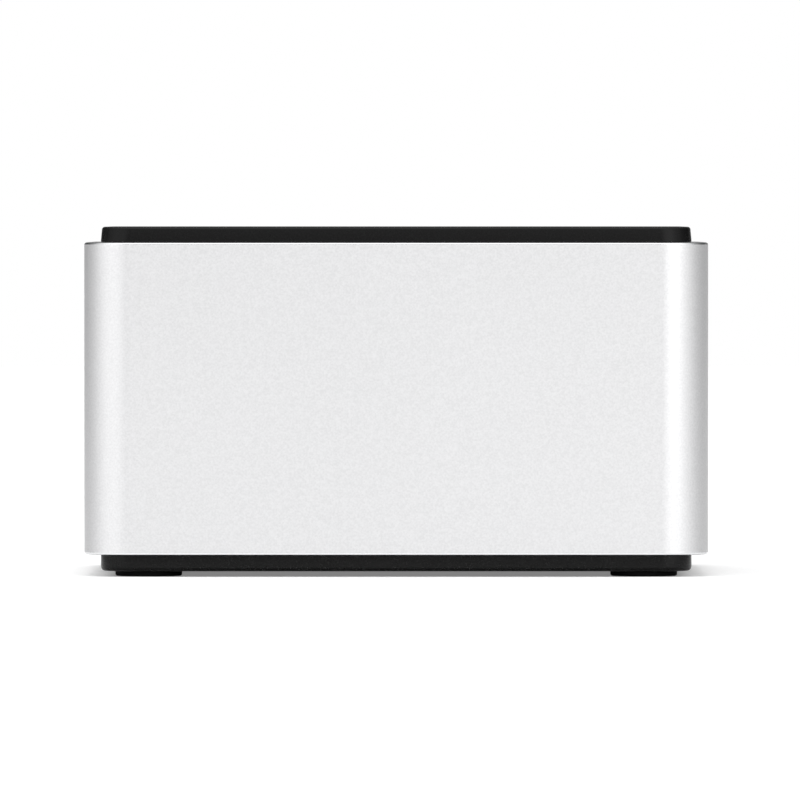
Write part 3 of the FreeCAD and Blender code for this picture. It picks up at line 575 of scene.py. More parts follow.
@dataclass(frozen=True)
class Finish:
    """A plain moulded or cast surface: its colour, its gloss and a fine grain.

    The grain is a noise whose size and depth are given in millimetres. The mottle is the share by which it
    lightens and darkens the colour, between the two heights of the noise that mottle_span gives.
    """

    name: str
    colour: str
    roughness: float
    grain: float
    depth: float
    mottle: float = 0.06
    metallic: float = 0.0
    ior: float = 1.5
    sheen: float = 0.5
    detail: float = 3.0
    mottle_span: tuple[float, float] = (0.3, 0.7)

    def material(self) -> bpy.types.Material:
        """Makes the finish a material, the first time that it is asked for.

        Returns:
            The material.
        """
        known = bpy.data.materials.get(self.name)
        if known:
            return known
        made = bpy.data.materials.new(self.name)
        made.use_nodes = True
        tree = made.node_tree
        tree.nodes.clear()
        output = add_node(tree, "ShaderNodeOutputMaterial")
        shader = add_node(tree, "ShaderNodeBsdfPrincipled", self.constants())
        tree.links.new(output.inputs["Surface"], shader.outputs["BSDF"])
        place = add_node(tree, "ShaderNodeTexCoord").outputs["Object"]
        self.pattern(tree, shader, place)
        return made

    def constants(self) -> dict[str, Any]:
        """The shader's values that are the same all over.

        Returns:
            The values, by the names of the shader's inputs.
        """
        return {
            "Metallic": self.metallic,
            "IOR": self.ior,
            "Roughness": self.roughness,
            "Specular IOR Level": self.sheen,
        }

    def pattern(self, tree: Tree, shader: Node, place: Socket) -> None:
        """Adds what varies over the surface.

        Args:
            tree: the material's tree.
            shader: its shader node.
            place: the object coordinates, in metres.
        """
        settings = {"Scale": 1 / (self.grain * MM), "Detail": self.detail}
        grain = add_node(tree, "ShaderNodeTexNoise", settings, {"Vector": place}).outputs["Fac"]
        self.colour_by(tree, shader, grain)
        self.bump_by(tree, shader, grain)

    def colour_by(self, tree: Tree, shader: Node, amount: Socket) -> None:
        """Lightens and darkens the colour.

        Args:
            tree: the material's tree.
            shader: its shader node.
            amount: what the colour follows, from 0 to 1.
        """
        base = Vector(linear(self.colour)[:3])
        shares = (1 - self.mottle, 1 + self.mottle)
        ramp = add_node(tree, "ShaderNodeValToRGB", links={"Fac": amount})
        for element, height, share in zip(ramp.color_ramp.elements, self.mottle_span, shares):
            element.position = height
            element.color = (*(base * share), 1.0)
        tree.links.new(shader.inputs["Base Color"], ramp.outputs["Color"])

    def bump_by(self, tree: Tree, shader: Node, height: Socket) -> None:
        """Raises and lowers the surface.

        Args:
            tree: the material's tree.
            shader: its shader node.
            height: what the surface follows, from 0 to 1.
        """
        settings = {"Strength": 1.0, "Distance": self.depth * MM}
        bump = add_node(tree, "ShaderNodeBump", settings, {"Height": height})
        tree.links.new(shader.inputs["Normal"], bump.outputs["Normal"])

    def gloss_by(
        self, tree: Tree, shader: Node, amount: Socket, spread: tuple[float, float], full: float = 1.0
    ) -> None:
        """Varies the roughness.

        Args:
            tree: the material's tree.
            shader: its shader node.
            amount: what the roughness follows, from 0 upwards.
            spread: what is added to the roughness where the amount is 0, and where it is full.
            full: the amount from which the roughness changes no more.
        """
        low, high = spread
        settings = {"From Max": full, "To Min": self.roughness + low, "To Max": self.roughness + high}
        gloss = add_node(tree, "ShaderNodeMapRange", settings, {"Value": amount})
        tree.links.new(shader.inputs["Roughness"], gloss.outputs["Result"])


@dataclass(frozen=True)
class DrawnMetal(Finish):
    """Metal with fine lines along one direction, as drawing, turning or grinding leaves them."""

    metallic: float = 1.0
    stretch: tuple[float, float, float] = (1.0, 1.0, 0.04)

    def pattern(self, tree: Tree, shader: Node, place: Socket) -> None:
        """Stretches the grain into lines.

        Args:
            tree: the material's tree.
            shader: its shader node.
            place: the object coordinates, in metres.
        """
        settings = {"Scale": self.stretch}
        lines = add_node(tree, "ShaderNodeMapping", settings, {"Vector": place}).outputs["Vector"]
        super().pattern(tree, shader, lines)


@dataclass(frozen=True)
class BlastedMetal(Finish):
    """Metal blasted with fine glass beads and clear anodised: a soft sheen, with a faint sparkle of pits."""

    metallic: float = 1.0
    detail: float = 2.0
    cloud: float = 45.0
    cloud_detail: float = 1.0
    cloud_share: float = 0.012

    def pattern(self, tree: Tree, shader: Node, place: Socket) -> None:
        """Adds a broad cloudiness in the gloss to the pits.

        Args:
            tree: the material's tree.
            shader: its shader node.
            place: the object coordinates, in metres.
        """
        super().pattern(tree, shader, place)
        settings = {"Scale": 1 / (self.cloud * MM), "Detail": self.cloud_detail}
        broad = add_node(tree, "ShaderNodeTexNoise", settings, {"Vector": place}).outputs["Fac"]
        self.gloss_by(tree, shader, broad, (-self.cloud_share, self.cloud_share))


@dataclass(frozen=True)
class GrainedPlastic(Finish):
    """Moulded plastic with a spark-eroded texture: small flat cells with soft borders."""

    softness: float = 0.6
    gloss_spread: tuple[float, float] = (-0.05, 0.07)
    gloss_full: float = 0.8

    def pattern(self, tree: Tree, shader: Node, place: Socket) -> None:
        """Adds the cells, whose floors shine a little more than their borders.

        Args:
            tree: the material's tree.
            shader: its shader node.
            place: the object coordinates, in metres.
        """
        settings = {"Scale": 1 / (self.grain * MM), "feature": "SMOOTH_F1", "Smoothness": self.softness}
        cells = add_node(tree, "ShaderNodeTexVoronoi", settings, {"Vector": place}).outputs["Distance"]
        self.colour_by(tree, shader, cells)
        self.bump_by(tree, shader, cells)
        self.gloss_by(tree, shader, cells, self.gloss_spread, self.gloss_full)


@dataclass(frozen=True)
class ClearPlastic(Finish):
    """Frosted clear plastic: part of the light passes through it and part is scattered."""

    passed: float = 0.6

    def constants(self) -> dict[str, Any]:
        """Adds the transmission."""
        return {**super().constants(), "Transmission Weight": self.passed}


# Bead-blasted, clear anodised aluminium: pale silver with a soft sheen. Its pits are drawn at 0.4 mm, coarser
# than real ones, so that they show as the faint speckle of such metal.
ANODISED = BlastedMetal("bead_blasted_aluminium", "ECECED", 0.38, 0.42, 0.004, mottle=0.05)
# The same metal after the rims are cut: a bright line, with the cutter's fine marks.
CUT_RIM = DrawnMetal("diamond_cut_aluminium", "F4F5F6", 0.22, 0.3, 0.002, mottle=0.02)
# ABS from a spark-eroded mould: nearly black, with a soft grey sheen.
BLACK_ABS = GrainedPlastic("black_abs_spark_textured", "090909", 0.22, 0.45, 0.003, mottle=0.10, sheen=0.21)
# The flaps' ABS, from a mould with a finer texture: a little greyer than the lid round it.
FLAP_ABS = GrainedPlastic("black_abs_fine_textured", "121213", 0.28, 0.32, 0.003, mottle=0.10, sheen=0.4)
# Plain moulded ABS inside the case: dark grey and half dull, with flow marks.
INNER_ABS = Finish("black_abs_plain", "323235", 0.45, 1.4, 0.004)
# ABS from a polished mould: black buttons and plungers with a clear gloss.
BUTTON_ABS = Finish("black_abs_polished", "18181A", 0.22, 2.0, 0.001, mottle=0.03)
# Moulded synthetic rubber: deep black and dull, with a fine tooth.
RUBBER = Finish("epdm_rubber", "0A0A0B", 0.78, 0.35, 0.012, mottle=0.15, sheen=0.15)
# Ground steel pins: bright, with fine lines, which run along the hinge pins.
PIN_STEEL = DrawnMetal("ground_steel", "B9BABC", 0.28, 0.2, 0.001, stretch=(0.05, 1.0, 1.0))
# Drawn spring wire: grey and bright, with faint lines round the coils.
SPRING_STEEL = DrawnMetal("drawn_spring_wire", "A6A7AA", 0.30, 0.15, 0.001, stretch=(1.0, 0.3, 0.3))
# Zinc-plated steel screws: a cool grey with a soft shine, streaked along the screw.
SCREW_STEEL = DrawnMetal("zinc_plated_steel", "9EA0A3", 0.34, 0.3, 0.002, stretch=(1.0, 1.0, 0.2))
# The data port's shell of nickel-plated steel: warm and bright, with lines along its depth.
PORT_STEEL = DrawnMetal("nickel_plated_steel", "C2C1BD", 0.26, 0.25, 0.001, stretch=(1.0, 0.05, 1.0))
# Turned aluminium pillars: pale, with the lathe's rings round them.
TURNED_ALUMINIUM = DrawnMetal("turned_aluminium", "C9CACC", 0.32, 0.2, 0.002, stretch=(0.1, 0.1, 1.0))
# Gold-plated contacts: warm yellow and bright.
GOLD = DrawnMetal("gold_plated_contact", "E2B65C", 0.20, 0.2, 0.001)
# The capacitors' drawn aluminium cans: pale, with lines up their sides.
CAN = DrawnMetal("drawn_aluminium_can", "C4C6C9", 0.30, 0.2, 0.002)
# Green solder mask over the board's laminate: half glossy, and uneven in tone.
SOLDER_MASK = Finish("solder_mask_on_laminate", "17452F", 0.35, 0.9, 0.010, mottle=0.12)
# The sockets' heat-proof plastic: black and half dull.
SOCKET_PLASTIC = Finish("black_lcp", "1B1B1D", 0.48, 0.5, 0.004)
# The chips' moulded epoxy: dark grey and dull, with a fine grit.
CHIP_EPOXY = Finish("moulded_epoxy", "2A2A2C", 0.55, 0.15, 0.006)
# The coils' pressed ferrite: a rough, dull grey.
FERRITE = Finish("pressed_ferrite", "4A4A4D", 0.60, 0.3, 0.012)
# Milky epoxy lenses over the status lights.
LED_LENS = Finish("diffuse_epoxy_lens", "E4E3D8", 0.30, 1.0, 0.001, mottle=0.02)
# Light pipes of clear polycarbonate with frosted ends, which look milky while the lights are off.
CLEAR = ClearPlastic("frosted_polycarbonate", "E6ECEE", 0.30, 1.0, 0.001, mottle=0.02, ior=1.585)


# Sub-assemblies


@dataclass
class Sleeve:
    """The extruded tube of the case, with bright cut rims and a window for the ports."""

    corner: Round = Round(10.5, 24)
    wall: float = 4.5
    rim: Round = Round(0.5, 2)
    rim_slot: int = 1
    window_margin: float = 28.0
    window_rise: float = 6.6
    window_height: float = 17.0
    window_corner: Round = Round(3.0, 8)
    tube: Piece | None = field(default=None, init=False)

    def build(self) -> None:
        """Models the tube: a block with round uprights, opened from end to end, then its window and rims."""
        box = Box.of("sleeve")
        self.tube = add_block("sleeve_tube", box)
        bevel_edges(self.tube, runs_along(Axis.Z), self.corner)
        with edit_mode(self.tube, Pick.FACE):
            select_faces(self.tube, lambda at, normal: abs(normal.z) > SQUARE)
            bpy.ops.mesh.inset(thickness=self.wall * MM, depth=0)
            bpy.ops.mesh.bridge_edge_loops()
        half = box.size.x / 2 - self.window_margin
        low = box.low.z + self.window_rise
        opening = Box(
            Vector((-half, box.high.y - 2 * self.wall, low)),
            Vector((half, box.high.y + self.wall, low + self.window_height)),
        )
        window = add_block("window", opening)
        bevel_edges(window, runs_along(Axis.Y), self.window_corner)
        combine(self.tube, window)
        break_edges(self.tube, self.rim, self.rim_slot)
        smooth(self.tube)

    def dress(self) -> None:
        """Anodised outside, with bare bright metal where the rims are cut."""
        settle(self.tube, CHASSIS, [ANODISED, CUT_RIM], "sleeve")


@dataclass
class Slots:
    """The two drive slots in the lid."""

    width: float = 104.0
    depth: float = 27.5
    lead: float = 0.6

    def of(self, bay: Bay) -> Box:
        """The slot over a bay, found from the front edge of its flap.

        Args:
            bay: the bay.

        Returns:
            The slot's outline, from the lid's lowest level to its top.
        """
        lid = Box.of("lid")
        half = self.width / 2
        front = Box.of(f"{bay.value}_flap").low.y - self.lead
        return Box(Vector((-half, front, lid.low.z)), Vector((half, front + self.depth, lid.high.z)))

    def shift(self, bay: Bay) -> Vector:
        """How far behind the front slot a bay's slot lies."""
        return self.of(bay).low - self.of(Bay.FRONT).low


SLOTS = Slots()


@dataclass
class Hinges:
    """Where the flaps' hinges lie, as the CAD has them."""

    hinge_back: float = 4.1
    hinge_z: float = 73.7
    inset: float = 16.0
    span: float = 11.0
    ear: float = 3.0
    ear_width: float = 5.0
    knuckle_radius: float = 1.8
    knuckle_length: float = 7.0
    side_gap: float = 0.3
    pin_radius: float = 1.0
    bore_sides: int = 24

    def y(self, bay: Bay) -> float:
        """How far back the axis of a bay's hinge lies."""
        return SLOTS.of(bay).high.y + self.hinge_back

    def x(self) -> float:
        """How far from the middle plane each hinge lies."""
        return SLOTS.width / 2 - self.inset

    def knuckle_start(self) -> float:
        """How far from the middle plane each knuckle begins."""
        return self.x() - self.span / 2 + self.side_gap

    def ear_places(self) -> list[Vector]:
        """The middles of the pins' holes in all the ears.

        Returns:
            A point for each end of each hinge.
        """
        reach = (self.span + self.ear) / 2
        return [
            Vector((side.value * (self.x() + end * reach), self.y(bay), self.hinge_z))
            for bay in Bay
            for side in Side
            for end in (-1, 1)
        ]


HINGES = Hinges()


@dataclass
class Lid:
    """The top cover: a drafted cap with two bevelled slots, a plug rim, hinge ears and pillar bosses."""

    rise: float = 3.5
    skin: float = 2.5
    skin_margin: float = 0.1
    corner: Round = Round(6.8, 16)
    draft: float = 5.0
    edge: Round = Round(0.6, 4)
    groove: Round = Round(0.3, 2)
    ledge: float = 1.0
    plug_depth: float = 4.5
    plug_wall: float = 1.8
    slot_corner: Round = Round(1.6, 5)
    slot_bevel: Round = Round(0.8, 2)
    # Just under half of an ear's width, so that its foot is all but half round.
    ear_foot: Round = Round(2.45, 10)
    ear_edge: Round = Round(0.2, 2)
    boss_across: float = 6.4
    boss_length: float = 6.0
    boss_edge: Round = Round(0.3, 2)
    light_radius: float = 1.05
    light_reach: float = 20.0
    cover: Piece | None = field(default=None, init=False)

    def build(self) -> None:
        """Models the cap and its rim, opens the slots, and adds what hangs under it."""
        box = Box.of("lid")
        top = box.high.z
        seat = top - self.rise
        self.cover = add_block("lid_cover", Box(Vector((box.low.x, box.low.y, seat)), box.high))
        bevel_edges(self.cover, runs_along(Axis.Z), self.corner)
        self.draw_in_top(box)
        bevel_edges(self.cover, lies_at(Axis.Z, seat), self.groove)
        ledge = self.ledge - self.groove.width
        inset_faces(self.cover, faces_at(Axis.Z, seat), ledge, (0, 0, -self.plug_depth))
        plug = seat - self.plug_depth
        cavity = self.plug_depth + self.rise - self.skin
        inset_faces(self.cover, faces_at(Axis.Z, plug), self.plug_wall, (0, 0, cavity))
        self.open_slots(top)
        for node in LIGHT_PIPES:
            middle = Box.of(node).middle
            start = (middle.x, middle.y, plug)
            combine(self.cover, add_rod("light_hole", Axis.Z, start, self.light_reach, self.light_radius))
        join(self.cover, self.ears(top) + self.bosses(top))
        smooth(self.cover)

    def draw_in_top(self, box: Box) -> None:
        """Tapers the cap's sides by the draft of its mould.

        Args:
            box: the lid's space.
        """
        shift = self.rise * math.tan(math.radians(self.draft))
        ratio = [1 - 2 * shift / box.size.x, 1 - 2 * shift / box.size.y, 1]
        with edit_mode(self.cover, Pick.FACE):
            select_faces(self.cover, faces_at(Axis.Z, box.high.z))
            bpy.ops.transform.resize(value=ratio, center_override=(0, 0, box.high.z * MM))

    def open_slots(self, top: float) -> None:
        """Cuts the two slots through the skin, then rounds their corners, their rims and the cap's own rim.

        Args:
            top: the level of the cap's top.
        """
        slots = [SLOTS.of(bay) for bay in Bay]
        for side in Side:
            slice_across(self.cover, Axis.X, side.value * SLOTS.width / 2)
        for slot in slots:
            slice_across(self.cover, Axis.Y, slot.low.y)
            slice_across(self.cover, Axis.Y, slot.high.y)
        under = top - self.skin - self.skin_margin

        def in_skin(at: Vector, normal: Vector) -> bool:
            """Whether a face is one of the skin's two flat sides."""
            return abs(normal.z) > SQUARE and at.z > under

        def at_slot(a: Vector, b: Vector) -> bool:
            """Whether an edge lies in a slot or on its outline."""
            return any(all(slot.holds(Outline.FROM_ABOVE, end, CLOSE) for end in (a, b)) for slot in slots)

        for slot in slots:
            bridge_faces(
                self.cover, lambda at, normal: in_skin(at, normal) and slot.holds(Outline.FROM_ABOVE, at)
            )
        upright = runs_along(Axis.Z)
        bevel_edges(
            self.cover,
            lambda a, b: upright(a, b) and min(a.z, b.z) > under and at_slot(a, b),
            self.slot_corner,
        )
        level = lies_at(Axis.Z, top)
        bevel_edges(self.cover, lambda a, b: level(a, b) and at_slot(a, b), self.slot_bevel)
        inner = Box(slots[0].low, slots[-1].high)
        margin = self.slot_corner.width + self.slot_bevel.width

        def outside(a: Vector, b: Vector) -> bool:
            """Whether an edge keeps clear of the slots, their rims and what their corners moved."""
            return not any(inner.holds(Outline.FROM_ABOVE, end, margin) for end in (a, b))

        bevel_edges(self.cover, lambda a, b: level(a, b) and outside(a, b), self.edge)

    def ears(self, top: float) -> list[Piece]:
        """The ears that hold the flaps' pins: round below, and bored.

        Args:
            top: the level of the cap's top.

        Returns:
            One ear and its copies.
        """
        places = HINGES.ear_places()
        x, y, z = places[0]
        low = z - HINGES.ear_width / 2
        high = top - self.skin / 2
        box = Box.about((x, y, (low + high) / 2), (HINGES.ear, HINGES.ear_width, high - low))
        ear = add_block("hinge_ear", box)
        foot = lies_at(Axis.Z, low)
        along = runs_along(Axis.X)
        bevel_edges(ear, lambda a, b: foot(a, b) and along(a, b), self.ear_foot)
        start = (x - HINGES.ear, y, z)
        bore = add_rod("bore", Axis.X, start, 2 * HINGES.ear, HINGES.pin_radius, HINGES.bore_sides)
        combine(ear, bore)
        break_edges(ear, self.ear_edge)
        return repeated(ear, places)

    def bosses(self, top: float) -> list[Piece]:
        """The bosses that the pillars' studs go into.

        Args:
            top: the level of the cap's top.

        Returns:
            One boss and its copies.
        """
        places = four_places("lid_pillars", self.boss_across)
        low = Vector((0, 0, top - self.skin - self.boss_length))
        length = self.boss_length + self.skin / 2
        boss = add_hexagon("pillar_boss", places[0] + low, length, self.boss_across)
        break_edges(boss, self.boss_edge)
        return repeated(boss, places)

    def dress(self) -> None:
        """Textured black plastic all over."""
        settle(self.cover, CHASSIS, [BLACK_ABS], "lid")


@dataclass
class Base:
    """The bottom cover: a tray with a plug rim, air slots, and recesses for the feet."""

    drop: float = 3.7
    floor: float = 2.2
    corner: Round = Round(6.8, 16)
    edge: Round = Round(1.0, 5)
    groove: Round = Round(0.3, 2)
    ledge: float = 1.0
    plug_depth: float = 4.5
    plug_wall: float = 1.8
    vents: int = 9
    vent_width: float = 2.4
    vent_length: float = 22.0
    vent_pitch: float = 7.0
    vent_y: float = 16.0
    # Just under half of a vent's width, so that its ends are all but half round.
    vent_end: Round = Round(1.152, 6)
    recess: float = 0.8
    recess_gap: float = 0.15
    boss_across: float = 9.0
    boss_height: float = 5.6
    boss_screw_across: float = 5.0
    standoff_across: float = 6.0
    standoff_height: float = 9.0
    standoff_screw_across: float = 4.6
    post_edge: Round = Round(0.3, 2)
    tray: Piece | None = field(default=None, init=False)

    def build(self) -> None:
        """Models the tray and its rim, then its openings and what stands inside it."""
        box = Box.of("base")
        bottom = box.low.z
        seat = bottom + self.drop
        self.tray = add_block("base_tray", Box(box.low, Vector((box.high.x, box.high.y, seat))))
        bevel_edges(self.tray, runs_along(Axis.Z), self.corner)
        bevel_edges(self.tray, lies_at(Axis.Z, bottom), self.edge)
        bevel_edges(self.tray, lies_at(Axis.Z, seat), self.groove)
        ledge = self.ledge - self.groove.width
        inset_faces(self.tray, faces_at(Axis.Z, seat), ledge, (0, 0, self.plug_depth))
        depth = self.plug_depth + self.drop - self.floor
        inset_faces(self.tray, faces_at(Axis.Z, seat + self.plug_depth), self.plug_wall, (0, 0, -depth))
        for node in FOOT_NODES:
            foot = Box.of(node)
            start = (foot.middle.x, foot.middle.y, bottom - PAST)
            radius = foot.size.x / 2 + self.recess_gap
            combine(self.tray, add_rod("recess", Axis.Z, start, PAST + self.recess, radius))
        combine(self.tray, self.vent_cutter(bottom))
        floor = bottom + self.floor
        bosses = self.posts("base_screws", self.boss_screw_across, floor, self.boss_height, self.boss_across)
        standoffs = self.posts(
            "board_screws", self.standoff_screw_across, floor, self.standoff_height, self.standoff_across
        )
        join(self.tray, bosses + standoffs)
        smooth(self.tray)

    def vent_cutter(self, bottom: float) -> Piece:
        """The shape of all the air slots together: one modelled with round ends, and its copies.

        Args:
            bottom: the level of the tray's underside.

        Returns:
            One object, to be cut out of the tray.
        """
        first_x = -(self.vents - 1) / 2 * self.vent_pitch
        places = [
            Vector((first_x + number * self.vent_pitch, row * self.vent_y, bottom + self.floor))
            for number in range(self.vents)
            for row in (-1, 1)
        ]
        size = (self.vent_width, self.vent_length, 4 * self.floor)
        vent = add_block("vents", Box.about(places[0], size))
        bevel_edges(vent, runs_along(Axis.Z), self.vent_end)
        join(vent, repeated(vent, places)[1:])
        return vent

    def posts(
        self, screws: str, screw_across: float, floor: float, height: float, across: float
    ) -> list[Piece]:
        """Four six-sided posts on the tray's floor, one round each screw of a node.

        Args:
            screws: the screws' node.
            screw_across: the width of the screws' heads from flat to flat.
            floor: the level of the tray's floor.
            height: how high the posts stand.
            across: their width from flat to flat.

        Returns:
            One post and its copies.
        """
        places = four_places(screws, screw_across)
        post = add_hexagon("post", places[0] + Vector((0, 0, floor)), height, across)
        break_edges(post, self.post_edge)
        return repeated(post, places)

    def dress(self) -> None:
        """Textured black plastic all over."""
        settle(self.tray, CHASSIS, [BLACK_ABS], "base")


@dataclass
class Feet:
    """The four rubber feet: discs with a round edge and a shallow dish underneath."""

    edge: Round = Round(0.45, 5)
    rim: float = 1.6
    dish: float = 0.25
    sides: int = 72
    feet: list[Piece] = field(default_factory=list, init=False)

    def build(self) -> None:
        """Models the first foot in its place, and copies it to the places of the others."""
        box = Box.of(FOOT_NODES[0])
        start = (box.middle.x, box.middle.y, box.low.z)
        foot = add_rod(f"rubber_{FOOT_NODES[0]}", Axis.Z, start, box.size.z, box.size.x / 2, self.sides)
        bevel_edges(foot, lies_at(Axis.Z, box.low.z), self.edge)
        inset_faces(foot, faces_at(Axis.Z, box.low.z), self.rim)
        flat = faces_at(Axis.Z, box.low.z)

        def under_middle(at: Vector, normal: Vector) -> bool:
            """Whether a face is the round one underneath, inside the rim."""
            return flat(at, normal) and (at - box.middle).to_2d().length < CENTRAL

        sink_faces(foot, under_middle, self.dish)
        smooth(foot)
        self.feet.append(foot)
        for node in FOOT_NODES[1:]:
            self.feet.append(copy_of(foot, f"rubber_{node}", Box.of(node).middle - box.middle))

    def dress(self) -> None:
        """Black rubber."""
        for node, foot in zip(FOOT_NODES, self.feet):
            settle(foot, CHASSIS, [RUBBER], node)


@dataclass
class Flaps:
    """The two dust flaps: thin plates, each with two arms that reach back to its hinge."""

    thickness: float = 1.8
    rear_gap: float = 0.4
    corner: Round = Round(1.2, 5)
    top_edge: Round = Round(0.3, 3)
    under_edge: Round = Round(0.3, 2)
    arm_reach: float = 7.0
    arm_depth: float = 0.9
    arm_slope: float = 2.2
    knuckle_edge: Round = Round(0.15, 2)
    knuckle_sides: int = 32
    bore_radius: float = 1.05
    plates: dict[Bay, Piece] = field(default_factory=dict, init=False)

    def build(self) -> None:
        """Models the front flap, a plate with an arm at each hinge, and copies it for the rear bay."""
        box = Box.of("front_flap")
        top = box.high.z
        under = top - self.thickness
        rear = SLOTS.of(Bay.FRONT).high.y - self.rear_gap
        space = Box(Vector((box.low.x, box.low.y, under)), Vector((box.high.x, rear, top)))
        plate = add_block("front_dust_flap", space)
        bevel_edges(plate, runs_along(Axis.Z), self.corner)
        bevel_edges(plate, lies_at(Axis.Z, top), self.top_edge)
        bevel_edges(plate, lies_at(Axis.Z, under), self.under_edge)
        arms = [self.arm(side, under) for side in Side]
        join(plate, arms)
        smooth(plate)
        self.plates[Bay.FRONT] = plate
        self.plates[Bay.REAR] = copy_of(plate, "rear_dust_flap", SLOTS.shift(Bay.REAR))

    def arm(self, side: Side, under: float) -> Piece:
        """One arm of the front flap, with its bored knuckle.

        Args:
            side: the side that it is on.
            under: the level of the plate's underside.

        Returns:
            The arm.
        """
        y = HINGES.y(Bay.FRONT)
        length = HINGES.knuckle_length
        middle = side.value * (HINGES.knuckle_start() + length / 2)
        low = HINGES.hinge_z - self.arm_depth
        high = under + self.under_edge.width
        reach = HINGES.hinge_back + self.arm_reach
        size = (length, reach, high - low)
        arm = add_block("arm", Box.about((middle, y - reach / 2, (low + high) / 2), size))
        self.trim_arm(arm, y, under)
        start = Vector((middle - length / 2, y, HINGES.hinge_z))
        knuckle = add_rod("knuckle", Axis.X, start, length, HINGES.knuckle_radius, self.knuckle_sides)
        break_edges(knuckle, self.knuckle_edge)
        combine(arm, knuckle, Combine.ADD)
        start.x -= PAST
        bore = add_rod("bore", Axis.X, start, length + 2 * PAST, self.bore_radius, HINGES.bore_sides)
        combine(arm, bore)
        return arm

    def trim_arm(self, arm: Piece, y: float, under: float) -> None:
        """Keeps an arm's rear half below the lid's skin, and slopes its front end.

        Args:
            arm: the arm, as a block.
            y: how far back the hinge lies.
            under: the level of the plate's underside.
        """
        with edit_mode(arm, Pick.EDGE):
            select_edges(arm, lambda a, b: min(a.y, b.y) > y - CLOSE and min(a.z, b.z) > under)
            bpy.ops.transform.translate(value=(0, 0, -self.under_edge.width * MM))
        with edit_mode(arm, Pick.EDGE):
            select_edges(arm, lambda a, b: max(a.y, b.y) < y - self.arm_reach and max(a.z, b.z) < under)
            bpy.ops.transform.translate(value=(0, self.arm_slope * MM, 0))

    def dress(self) -> None:
        """Finely textured black plastic."""
        for bay, plate in self.plates.items():
            name = f"{bay.value}_flap"
            settle(plate, name, [FLAP_ABS], name)


